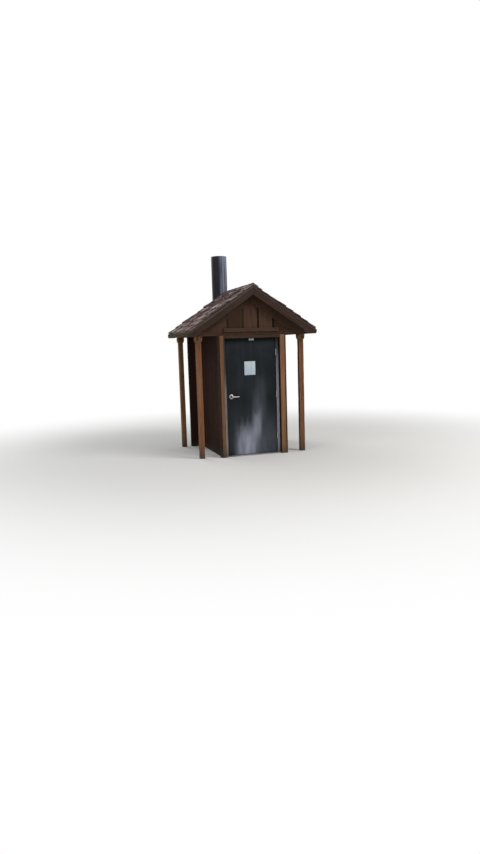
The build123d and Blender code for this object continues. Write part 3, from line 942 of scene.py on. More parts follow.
@dataclass(frozen=True)
class MetalFinish(Finish):
    """Painted, plated or bare metal with dirt, chips and runs."""

    base: Colour
    shade: Colour  # of its darker patches
    grime: Colour  # of the dirt and the runs
    worn: Colour  # where an edge is bare
    metallic: float = 0.0  # 1 for bare metal and 0 for paint
    roughness: float = 0.45
    dirt: float = 0.35  # how much there is, from 0 to 1
    speckle: float = 0.0  # how many specks there are, from 0 to 1
    gloss: float = 0.3  # where 0.5 is plain varnish

    def paint(self, web: Web, shader: Node) -> None:
        """Builds the metal from its coat and a faint unevenness.

        Args:
            web: The material's web.
            shader: Its surface shader.
        """
        place = web.place()
        weather = web.group(WEATHER_EFFECT, {"Place": place, "Foot": 0.12})
        edge = web.group(EDGE_EFFECT, {"Edge": web.attribute("wear"), "Place": place, "Amount": 0.3})
        patch = web.remap(web.noise(place, 3.2, 4, 0.6), 0.35, 0.68)
        colour = web.layers(
            web.mix(patch, self.base, self.shade),
            (web.remap(web.noise(place, 46.0, 4, 0.7), 0.62, 0.7), self.speckle, self.grime),
            (weather.outputs["Runs"], self.dirt, self.grime),
            (weather.outputs["Damp"], self.dirt, self.grime),
            (edge.outputs["Worn"], 0.7, self.worn),
        )
        fine = web.noise(place, 90.0, 3, 0.6)
        rough = web.remap(fine, 0.3, 0.7, self.roughness - 0.07, self.roughness + 0.12)
        rough = web.math("MULTIPLY_ADD", weather.outputs["Runs"], 0.12, rough)
        for mask, over, added in self.soil(web, place):
            colour = web.mix(mask, colour, over)
            rough = web.math("MULTIPLY_ADD", mask, added, rough)
        web.dress(shader, colour, rough, fine, 0.0008, 0.5)
        shader.inputs["Metallic"].default_value = self.metallic
        shader.inputs["Specular IOR Level"].default_value = self.gloss

    def soil(self, web: Web, place: Socket) -> Soil:
        """Gives what lies on the coat: rows of a mask, a colour and the roughness that it adds."""
        return []


@dataclass(frozen=True)
class DustAndLightPatch:
    """A pale patch on the door, partly dust and partly painted light, in the frame's metres."""

    middle: float  # its X on the ground
    lean: float  # how far the middle moves in X for each metre up
    half: float  # half its width
    low: float  # the level under which it is full
    high: float  # the level at which it is gone
    strength: float  # how much it covers, from 0 to 1
    foot: float = -1.0  # the level under which it thins out again

    def mask(self, web: Web, place: Socket, streak: Socket) -> Socket:
        """Works out the patch: a window across, a fade up and down, and streaks that break it up.

        Args:
            web: The material's web.
            place: The place on the door.
            streak: The noise of the streaks.

        Returns:
            How much of the paint the patch covers.
        """
        x, _, z = web.parts(place)
        centre = web.math("MULTIPLY_ADD", z, self.lean, self.middle)
        away = web.math("ABSOLUTE", web.math("SUBTRACT", x, centre))
        across = web.remap(away, self.half, self.half * 0.15)
        ragged = web.math("MULTIPLY_ADD", streak, 0.7, z)
        up = web.remap(ragged, self.high + 0.35, self.low + 0.35)
        down = web.remap(z, self.foot - 0.14, self.foot + 0.14)
        broken = web.remap(streak, 0.3, 0.66, self.strength * 0.45, self.strength)
        return web.times(web.times(across, up), web.times(down, broken))


@dataclass(frozen=True)
class DoorFinish(MetalFinish):
    """The door's dark paint, paler towards its foot: partly dust splashed and run down its lower part, partly
    painted light from the sun and the ground.
    """

    # The colour of the pale patches, partly dust and partly painted light
    dust: Colour = srgb(170, 175, 192)
    patches: tuple[DustAndLightPatch, ...] = (
        # The first patch, wide and faint, is painted light reflected from the ground; the others are dust
        # with painted sunlight
        DustAndLightPatch(0.16, 0.0, 0.80, -0.2, 1.00, 0.26),
        DustAndLightPatch(-0.12, 0.03, 0.27, 0.18, 0.66, 0.95),
        DustAndLightPatch(0.06, 0.04, 0.12, 0.55, 0.90, 0.55, 0.34),
        DustAndLightPatch(0.07, 0.06, 0.18, 0.85, 1.55, 0.14, 0.62),
    )

    def soil(self, web: Web, place: Socket) -> Soil:
        """Gives each pale patch, of dust and painted light."""
        streak = web.noise(place, (11, 11, 2.0), 3, 0.5, 0.4)
        return [(patch.mask(web, place, streak), self.dust, 0.3) for patch in self.patches]


@dataclass(frozen=True)
class FrameFinish(MetalFinish):
    """The door frame's paint, darker towards its head with painted shade of the roof."""

    # The colour of the painted shade towards the head
    head_shade: Colour = srgb(54, 47, 44)
    shade_start: float = 1.45  # the level under which there is no painted shade
    shade_full: float = 2.0  # the level above which it covers most of the paint
    shade_cover: float = 0.9  # how much it covers there, from 0 to 1

    def soil(self, web: Web, place: Socket) -> Soil:
        """Gives the painted shade, which grows upwards and is broken up by streaks.

        Args:
            web: The material's web.
            place: The place on the frame.

        Returns:
            One row for the painted shade.
        """
        streak = web.noise(place, (30, 30, 2.5), 3, 0.6)
        level = web.math("MULTIPLY_ADD", streak, 0.5, web.parts(place)[2])
        return [(web.remap(level, self.shade_start + 0.25, self.shade_full + 0.25, 0.0, self.shade_cover), self.head_shade, 0.2)]


@dataclass(frozen=True)
class PipeFinish(MetalFinish):
    """The pipe's black coat, with bluish streaks down one side that are partly chalky paint and partly a
    painted reflection of the sky.
    """

    # The colour of the sheen, a painted sky reflection with the look of chalky paint
    chalk_sheen: Colour = srgb(148, 156, 180)
    # The X where it starts, is full, thins out and is gone
    sheen_band: tuple[float, float, float, float] = (-0.095, 0.0, 0.075, 0.125)

    def soil(self, web: Web, place: Socket) -> Soil:
        """Gives the chalky sheen: a painted reflection in a band down the pipe, broken up by streaks.

        Args:
            web: The material's web.
            place: The place on the pipe.

        Returns:
            One row for the painted sheen.
        """
        streak = web.noise(place, (24, 24, 1.2), 3, 0.6)
        x = web.parts(place)[0]
        start, full, thin, gone = self.sheen_band
        side = web.times(web.remap(x, start, full), web.remap(x, gone, thin))
        return [(web.times(side, web.remap(streak, 0.38, 0.64, 0.18, 0.78)), self.chalk_sheen, 0.3)]


@dataclass(frozen=True)
class ConcreteFinish(Finish):
    """Trowelled concrete with sand and damp."""

    pale: Colour = srgb(168, 164, 154)
    dark: Colour = srgb(128, 124, 116)

    def paint(self, web: Web, shader: Node) -> None:
        """Builds the concrete from broad patches and fine sand.

        Args:
            web: The material's web.
            shader: Its surface shader.
        """
        place = web.place()
        sand = web.noise(place, 140.0, 3, 0.7)
        colour = web.mix(web.remap(web.noise(place, 2.6, 5, 0.6), 0.3, 0.7), self.dark, self.pale)
        colour = web.mix(web.remap(sand, 0.6, 0.72, 0.0, 0.5), colour, srgb(96, 92, 86))
        web.dress(shader, colour, web.remap(sand, 0.3, 0.7, 0.78, 0.95), sand, 0.002, 0.6)


# Dark stain, made darker still as painted shade of the hut's shaded sides
WALL_WOOD = WoodFinish(
    "stained_wood", srgb(27, 17, 14), srgb(44, 28, 22), srgb(60, 39, 31), srgb(90, 64, 48), srgb(52, 38, 32),
    fade=0.3, spread=0.16, gloss=0.04,
)
TRIM_WOOD = WoodFinish(
    "trim_wood", srgb(74, 50, 35), srgb(118, 84, 60), srgb(150, 112, 82), srgb(174, 140, 108),
    srgb(120, 98, 80), fade=0.3, spread=0.1, foot=0.26, damp=srgb(70, 66, 52),
)
POST_WOOD = WoodFinish(
    "post_wood", srgb(70, 46, 31), srgb(116, 80, 54), srgb(154, 110, 75), srgb(176, 138, 100),
    srgb(110, 86, 68), fade=0.3, cracks=0.26, spread=0.1, foot=0.3, damp=srgb(64, 68, 62),
)
BEAM_WOOD = WoodFinish(
    "beam_wood", srgb(38, 28, 24), srgb(62, 48, 41), srgb(80, 64, 55), srgb(108, 90, 76), srgb(72, 59, 51),
    fade=0.3, spread=0.1, gloss=0.06, slot="trim_wood",
)
EDGE_WOOD = WoodFinish(
    "roof_edge_wood", srgb(42, 34, 32), srgb(70, 58, 54), srgb(94, 80, 74), srgb(124, 110, 100),
    srgb(88, 77, 72), fade=0.5, spread=0.08, gloss=0.06, slot="trim_wood",
)
# A darker, yellower copy of the beam wood; its darkness paints the shade on the eaves
FASCIA_WOOD = WoodFinish(
    "fascia_wood", srgb(36, 28, 19), srgb(60, 48, 33), srgb(80, 65, 46), srgb(112, 94, 70), srgb(70, 58, 44),
    fade=0.3, spread=0.08, gloss=0.05, slot="trim_wood",
)
# Darker than the trim: partly a darker stain, partly painted shade on the corners' sides
RETURN_WOOD = WoodFinish(
    "corner_return_wood", srgb(36, 24, 19), srgb(56, 38, 30), srgb(76, 53, 41), srgb(100, 76, 58),
    srgb(62, 48, 40), fade=0.3, spread=0.08, gloss=0.06, slot="trim_wood",
)
GABLE_WOOD = WoodFinish(
    "gable_wood", srgb(46, 33, 26), srgb(68, 49, 39), srgb(84, 62, 50), srgb(108, 85, 68), srgb(80, 63, 50),
    fade=0.35, spread=0.24, gloss=0.05, relief=0.0025, cracks=0.06,
)
DRIP_WOOD = WoodFinish(
    "drip_wood", srgb(42, 31, 24), srgb(66, 51, 40), srgb(86, 68, 54), srgb(140, 112, 88), srgb(78, 64, 52),
    fade=0.35, spread=0.1, gloss=0.08, slot="trim_wood",
)
DECK_WOOD = WoodFinish(
    "deck_wood", srgb(78, 56, 40), srgb(116, 88, 64), srgb(144, 114, 86), srgb(160, 134, 106),
    srgb(106, 90, 76), fade=0.5, spread=0.22,
)
# Its worn colour, on the shakes' butts and edges, is partly a painted highlight
SHAKE_WOOD = ShakeFinish(
    "shake_wood", srgb(46, 38, 38), srgb(156, 146, 144), srgb(255, 250, 248), srgb(190, 176, 172),
    srgb(112, 99, 98), cracks=0.34, coarseness=0.7, relief=0.008, roughness=0.88, gloss=0.06,
)
DOOR_PAINT = DoorFinish(
    "door_paint", srgb(20, 25, 28), srgb(27, 33, 37), srgb(80, 84, 94), srgb(104, 106, 110),
    roughness=0.46, dirt=0.07, gloss=0.12,
)
FRAME_PAINT = FrameFinish(
    "frame_paint", srgb(178, 180, 188), srgb(156, 158, 166), srgb(104, 96, 90), srgb(190, 192, 196),
    roughness=0.5, dirt=0.3,
)
# A darker copy of the frame paint for the latch side, whose darkness is painted shade; its painted head shade
# starts lower and covers fully
SHADED_STRIP_PAINT = FrameFinish(
    "latch_strip_paint", srgb(132, 127, 126), srgb(104, 98, 96), srgb(64, 56, 50), srgb(164, 162, 164),
    roughness=0.55, dirt=0.5, slot="frame_paint", shade_start=1.0, shade_full=1.65, shade_cover=1.0,
)
SIGN_PAINT = MetalFinish(
    "sign_paint", srgb(192, 203, 211), srgb(170, 187, 203), srgb(154, 156, 152), srgb(180, 180, 178),
    roughness=0.4, dirt=0.22,
)
ZINC = MetalFinish(
    "galvanised_steel", srgb(176, 178, 182), srgb(140, 144, 150), srgb(116, 100, 88), srgb(200, 200, 200),
    metallic=0.85, roughness=0.5, dirt=0.35, speckle=0.4,
)
SATIN_STEEL = MetalFinish(
    "satin_steel", srgb(206, 206, 202), srgb(180, 180, 176), srgb(128, 120, 110), srgb(224, 222, 216),
    metallic=0.8, roughness=0.34, dirt=0.2,
)
NAIL_STEEL = MetalFinish(
    "nail_steel", srgb(82, 68, 60), srgb(62, 48, 42), srgb(96, 64, 46), srgb(120, 110, 102),
    metallic=0.6, roughness=0.62, dirt=0.5, slot="galvanised_steel",
)
# Dark steel for the lock's core, also used for the rings that paint shade in the roses
LOCK_AND_SHADE_STEEL = MetalFinish(
    "lock_steel", srgb(30, 31, 34), srgb(22, 22, 24), srgb(52, 46, 42), srgb(90, 88, 84), roughness=0.5,
    slot="satin_steel",
)
PIPE_BLACK = PipeFinish(
    "pipe_black", srgb(22, 23, 28), srgb(31, 32, 39), srgb(56, 50, 52), srgb(96, 98, 104),
    roughness=0.42, dirt=0.3, speckle=0.1, gloss=0.15,
)
CONCRETE = ConcreteFinish("concrete")

SAWN = Timber()
HEAVY = Timber(edge_radius=0.006, relief=0.0022, edge_wear=0.006, station=0.05, face_step=0.022)
BOARD = Timber(edge_radius=0.0025, relief=0.0012, edge_wear=0.003, station=0.07)
CORE = Timber(edge_radius=0.001, relief=0.0, edge_wear=0.0, station=0.6, face_step=0.3)
FOLDED = Timber(edge_radius=0.0025, relief=0.0, edge_wear=0.0, station=0.2, face_step=0.1)
CAST = Timber(edge_radius=0.006, relief=0.0015, edge_wear=0.003, station=0.08, face_step=0.08)
THIN = replace(FOLDED, edge_radius=0.0006, station=0.1, edge_band=0.0005)
FINE = replace(FOLDED, edge_radius=0.0004, station=0.1, edge_band=0.0003)


def shade_groove_bottom(surface: Surface, dirt: float = 1.0) -> Surface:
    """Marks a surface as the bottom of grooves, dark with painted shade (dirt sets how dark) and with no worn
    edge.
    """
    surface.wear = np.full(len(surface.points), -dirt)
    return surface


@dataclass
class Assembly:
    """Pieces that are built together, with a random source of their own."""

    seed: int  # of the random source, so that each run gives the same pieces

    def __post_init__(self) -> None:
        """Starts the random source."""
        self.rng = np.random.default_rng(self.seed)

    def blocks(self, kind: Timber, grain: Grain, *boxes: Box) -> Surface:
        """Makes a timber in each box, given by its lowest and highest corner, and joins them."""
        return joined([kind.block(*box, grain, self.rng) for box in boxes])

    def plain(
        self, name: str, node: str, kind: Timber, grain: Grain, finish: Finish, body: str = "hut"
    ) -> None:
        """Makes a piece that is one timber in the box of its node."""
        make_piece(name, self.blocks(kind, grain, node_box(node)), finish, node, body=body)

    def nails(self, node: str, places: Sequence[Point], outward: int) -> None:
        """Makes the heads of the nails in the boards of a node."""
        make_piece(f"nails_{node}", fasteners(places, outward, NAIL_RADIUS, NAIL_HEIGHT), NAIL_STEEL)


@dataclass
class Hut(Assembly):
    """The boarded hut: its floor, walls, lintel, sill and the boards on its front corners."""

    seed: int = 11
    groove_spacing: float = 0.203
    groove_width: float = 0.012
    groove_depth: float = 0.007
    board_thickness: float = 0.025  # of the corner boards
    strip_width: float = 0.021  # of the left corner's face that shows the frame's steel
    nail_spacing: float = 0.4  # up a corner
    nail_ends: Span = (0.12, 0.05)  # how far the nails stay from its foot and its top
    nail_rows: Span = (0.25, 0.75)  # as shares of the board's width

    def clad(self, low: Array, high: Array, axis: int) -> Surface:
        """Makes a wall as a core with upright boards on both faces and grooves between them.

        Args:
            low: The wall's lowest corner.
            high: The wall's highest corner.
            axis: The axis that its faces look along, 0 or 1.

        Returns:
            The wall.
        """
        along = 1 - axis
        inset = self.groove_depth * np.eye(3)[axis]
        # The core shows in the grooves, dark with painted shade
        parts = [shade_groove_bottom(self.blocks(CORE, Grain.ALONG_Z, (low + inset, high - inset)))]
        count = max(1, round((high[along] - low[along]) / self.groove_spacing))
        marks = np.linspace(low[along], high[along], count + 1)
        starts = marks[:-1] + (marks[:-1] > low[along]) * self.groove_width / 2
        ends = marks[1:] - (marks[1:] < high[along]) * self.groove_width / 2
        for face, inward in ((low[axis], 1), (high[axis], -1)):
            near, far = sorted((face, face + 2 * inward * self.groove_depth))
            for start, end in zip(starts, ends):
                board = low.copy(), high.copy()
                board[0][[along, axis]] = start, near
                board[1][[along, axis]] = end, far
                parts.append(self.blocks(BOARD, Grain.ALONG_Z, board))
        return joined(parts)

    def build(self) -> None:
        """Makes and dresses every piece of the hut."""
        self.plain("floor", "floor_slab", CAST, Grain.ALONG_X, CONCRETE)
        self.plain("sill", "door_sill", FOLDED, Grain.ALONG_X, ZINC)
        for side in Side:
            node = f"{side.word}_wall"
            make_piece(f"boards_{node}", self.clad(*node_box(node), axis=0), WALL_WOOD, node)
            node = f"front_wall_{side.word}"
            self.plain(f"boards_{node}", node, BOARD, Grain.ALONG_Z, WALL_WOOD)
        back = self.clad(*node_box("back_wall"), axis=1)
        make_piece("boards_back_wall", back, WALL_WOOD, "back_wall")
        self.plain("lintel_board", "door_lintel", BOARD, Grain.ALONG_X, BEAM_WOOD)
        for side in Side:
            self.build_corner(side)

    def build_corner(self, side: Side) -> None:
        """Makes a front corner: a board on the face, a darker one that laps its edge, partly with painted
        shade, and nails.

        On the latch side the door frame's steel shows in a strip beside the board on the face.

        Args:
            side: The side of the hut.
        """
        node = f"corner_board_{side.word}"
        low, high = node_box(node)
        wall_low, wall_high = node_box(f"{side.word}_wall")
        back = low[1] + self.board_thickness
        if side is Side.LEFT:
            edge, inner = wall_low[0], high[0] - self.strip_width
            lapping = low, moved(high, x=edge)
            facing = moved(low, x=edge), moved(high, x=inner, y=back)
            strip = self.blocks(FOLDED, Grain.ALONG_Z, (moved(low, x=inner), moved(high, y=back)))
            make_piece("latch_side_strip", strip, SHADED_STRIP_PAINT)
        else:
            lapping = moved(low, x=wall_high[0]), high
            facing = low, moved(high, x=wall_high[0], y=back)
        make_piece(f"{node}_face", self.blocks(BOARD, Grain.ALONG_Z, facing), TRIM_WOOD, node)
        make_piece(f"{node}_return", self.blocks(BOARD, Grain.ALONG_Z, lapping), RETURN_WOOD)
        places = [
            (facing[0][0] + (facing[1][0] - facing[0][0]) * share, low[1] + NAIL_SINK, level)
            for share in self.nail_rows
            for level in np.arange(self.nail_ends[0], high[2] - self.nail_ends[1], self.nail_spacing)
        ]
        self.nails(node, places, -1)


@dataclass
class PostFrame(Assembly):
    """Four posts with a block on each, and the beams that they carry."""

    seed: int = 23
    taper: float = 0.014  # how far a cap's foot is cut in, and how high that cut is

    def build(self) -> None:
        """Makes and dresses the posts, their caps and the beams."""
        caps_low, caps_high = node_box("post_caps")
        spread = node_box("post_front_left")[0][0] - caps_low[0]
        caps = []
        for row in ("front", "rear"):
            for side in Side:
                node = f"post_{row}_{side.word}"
                low, high = node_box(node)
                self.plain(f"{node}_timber", node, HEAVY, Grain.ALONG_Z, POST_WOOD)
                caps.append(self.cap(moved(low - spread, z=high[2]), moved(high + spread, z=caps_high[2])))
        make_piece("post_cap_blocks", joined(caps), POST_WOOD, "post_caps")
        for node in ("side_beam_left", "side_beam_right"):
            self.plain(f"{node}_timber", node, HEAVY, Grain.ALONG_Y, BEAM_WOOD)
        for node in ("front_beam", "rear_beam"):
            self.plain(f"{node}_timber", node, HEAVY, Grain.ALONG_X, BEAM_WOOD)

    def cap(self, low: Array, high: Array) -> Surface:
        """Makes a post's cap: a block whose foot narrows to its own width less twice the taper.

        Args:
            low: Its lowest corner.
            high: Its highest corner.

        Returns:
            The closed block.
        """
        block = self.blocks(HEAVY, Grain.ALONG_Z, (low, high))
        rise = np.clip((block.points[:, 2:] - low[2]) / self.taper, 0, 1)
        shrink = 1 - (1 - rise) * self.taper / ((high[0] - low[0]) / 2)
        middle = (low + high)[:2] / 2
        block.points[:, :2] = middle + (block.points[:, :2] - middle) * shrink
        return block


@dataclass(frozen=True)
class RoofShape:
    """The roof's pitch and levels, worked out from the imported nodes."""

    pitch: float  # in radians
    deck_apex: float  # the level at which the deck's upper faces meet
    deck_thickness: float  # square to the slope
    half_width: float  # the X of the shakes' lower edge
    ridge_height: float  # from the deck to the cap's top, square to the slope

    @classmethod
    def read(cls) -> "RoofShape":
        """Reads the shape: the slope is the drop from the deck's apex to the shakes' low edge.

        Returns:
            The shape.
        """
        shakes_low, shakes_high = node_box("shakes_right")
        deck_low, deck_high = node_box("roof_deck_right")
        slope = (deck_high[2] - shakes_low[2]) / shakes_high[0]
        pitch = atan(slope)
        deck_bottom_apex = deck_low[2] + deck_high[0] * slope
        ridge_top = node_box("ridge_cap")[1][2]
        return cls(
            pitch,
            float(deck_high[2]),
            float((deck_high[2] - deck_bottom_apex) * cos(pitch)),
            float(shakes_high[0]),
            float((ridge_top - deck_high[2]) * cos(pitch)),
        )

    def axes(self, side: Side) -> Array:
        """Gives the directions along the ridge, up the slope and square to it, as columns."""
        across, up = cos(self.pitch), sin(self.pitch)
        return np.array([[0, -side.value * across, side.value * up], [1, 0, 0], [0, up, across]])

    def falling(self, side: Side) -> Array:
        """Gives the directions down the slope, square to it and along the ridge, as columns."""
        return self.axes(side)[:, [1, 2, 0]] * [-1, 1, 1]

    def point(self, side: Side, down: float, y: float, height: float) -> Array:
        """Gives a point by its distance down the slope, its Y and its height above the deck."""
        return np.array([0, y, self.deck_apex]) + self.axes(side) @ [0, -down, height]

    def level(self, x: float | Array, height: float = 0.0) -> float | Array:
        """Gives the height at X of a face that lies that far above the deck's upper face."""
        return self.deck_apex + height / cos(self.pitch) - abs(x) * tan(self.pitch)

    def rafter_ends(self, height: float, x_start: float, x_end: float, bottom: float) -> Ends:
        """Gives the ends of a timber that runs down the slope, with plumb and level cuts.

        At h above the deck and s down the slope, x = s cos p + h sin p and z = apex - s sin p +
        h cos p. A plumb cut at x0 is s = (x0 - h sin p)/cos p, and a level cut at z0 is
        s = (apex + h cos p - z0)/sin p. The lower end is whichever comes first.

        Args:
            height: The height of the timber's middle above the deck.
            x_start: The X of the plumb cut at the ridge.
            x_end: The X of the plumb cut at the eave.
            bottom: The level under which the timber is cut off.

        Returns:
            The function of the two ends.
        """

        def ends(across: Array) -> tuple[Array, Array]:
            """Gives both ends' distances down the slope.

            Args:
                across: The height above the timber's middle.

            Returns:
                The upper end and the lower one.
            """
            above = across + height
            start = (x_start - above * sin(self.pitch)) / cos(self.pitch)
            plumb = (x_end - above * sin(self.pitch)) / cos(self.pitch)
            level = (self.deck_apex + above * cos(self.pitch) - bottom) / sin(self.pitch)
            return start, np.minimum(plumb, level)

        return ends


@dataclass(frozen=True)
class Shake:
    """A split shake: a wedge with a ridged face, ragged at its thick lower end."""

    length: float = 0.36
    butt: float = 0.029  # the height of its face above the deck at the lower end
    head: float = 0.0055  # the height of its face at the upper end
    rest: float = 0.0145  # the height of its underside at the lower end
    columns: int = 13  # how many points its face has across
    ridge: float = 0.0036  # how deep its split face is
    ragged: float = 0.013  # how uneven its lower end is
    exposure: float = 0.17  # how much of it the next one leaves open
    usual_width: float = 0.16  # which its ridges are laid out for
    fine: Span = (0.022, 0.16)  # the size of its fine ridges, across and up
    broad: Span = (0.06, 0.3)  # the size of its broad ones
    side_fall: float = 0.003  # how far its face falls at the sides
    end_fall: float = 0.006  # how far its face falls at the lower end
    thinnest: float = 0.003
    waver: float = 0.003  # how uneven its sides are

    def stations(self) -> Array:
        """Gives the distances of its sections from the lower end, close together there."""
        steps = np.array([0, 0.003, 0.009, 0.02, 0.045, 0.08, 0.115, 0.14, 0.166, 0.21, 0.26, 0.31])
        return np.append(steps[steps < self.length - 0.005], self.length)

    def split(self, low: float, high: float | Callable, rng: Random, lift: float = 0.0) -> Surface:
        """Makes the shake in local axes: X up its length, Y across, Z above the deck.

        The face is butt + (head - butt) s/length + ridge (noise across 2.2 cm + noise across 6 cm)
        at s up its length, rounded off at the lower end and both sides. The underside falls from
        the rest to the deck. Each row is shifted in X by a noise that fades towards the head.

        Args:
            low: Y of its low side.
            high: Y of its high side, or a function of height, face and underside that gives it.
            rng: Draws its shape.
            lift: How far it is raised.

        Returns:
            The closed surface.
        """
        table = NoiseTable(rng)
        up = self.stations()[:, None]
        share = up / self.length
        across = np.array([[0, 0.025, *np.linspace(0.08, 0.92, self.columns - 4), 0.975, 1]])
        start = rng.uniform(0, 40, 2)
        width = across * self.usual_width
        ridges = table.at(width / self.fine[0] + start[0], up / self.fine[1])
        ridges = ridges + 0.8 * table.at(width / self.broad[0], up / self.broad[1] + start[1])
        fade = np.clip(1 - 0.8 * share, 0, 1)
        side_drop = self.side_fall * np.exp(-np.minimum(across, 1 - across) / 0.03)
        end_drop = self.end_fall * np.exp(-up / 0.004)
        face = self.butt + lift + (self.head - self.butt) * share + self.ridge * ridges * fade
        face = face - side_drop * fade - end_drop
        under = (self.rest + lift * 0.5) * (1 - share) + 0 * across
        face = np.maximum(face, under + self.thinnest)
        sides = self.waver * table.at(up / 0.09, across * 3 + 20)
        slant = (across - 0.5) * rng.uniform(-1.2, 1.2)
        shift = self.ragged * (table.at(across * 5 + start[1], 0 * across) + slant)
        along = up + shift * (1 - share)
        along = along - np.minimum(np.min(along[0]), 0) * (1 - share)

        def row(height: Array) -> Array:
            """Gives the points of the face or the underside, by their heights."""
            top = high if not callable(high) else high(height, face[:, 6:7], under[:, 6:7])
            return np.stack([along, low + across * (top - low) + sides, height], axis=2)

        made = plain_surface(np.concatenate([row(face)[:, ::-1], row(under)], axis=1))
        ring_size = 2 * self.columns
        first = np.arange(self.columns - 1)
        mirror = ring_size - 1 - first
        head_cap = np.stack([first, first + 1, mirror - 1, mirror], axis=1)
        made.quads = np.concatenate([made.quads, head_cap[:, ::-1], head_cap + (len(up) - 1) * ring_size])
        made.caps = []
        edge = np.exp(-np.minimum(across, 1 - across) / 0.05) + np.exp(-up / 0.012)
        wear = np.clip(np.concatenate([edge[:, ::-1], 0.3 * edge], axis=1), 0, 1)
        # Painted shade with some dirt: each shake darkens near and under the next course's butt
        lap_shade = np.clip((up - self.exposure + 0.04) / 0.05, 0, 1)
        made.wear = (wear - 1.6 * lap_shade).reshape(-1)
        made.board[:] = rng.beta(1.6, 1.6)
        made.grain = made.points + rng.uniform(0, 40, 3)
        return made


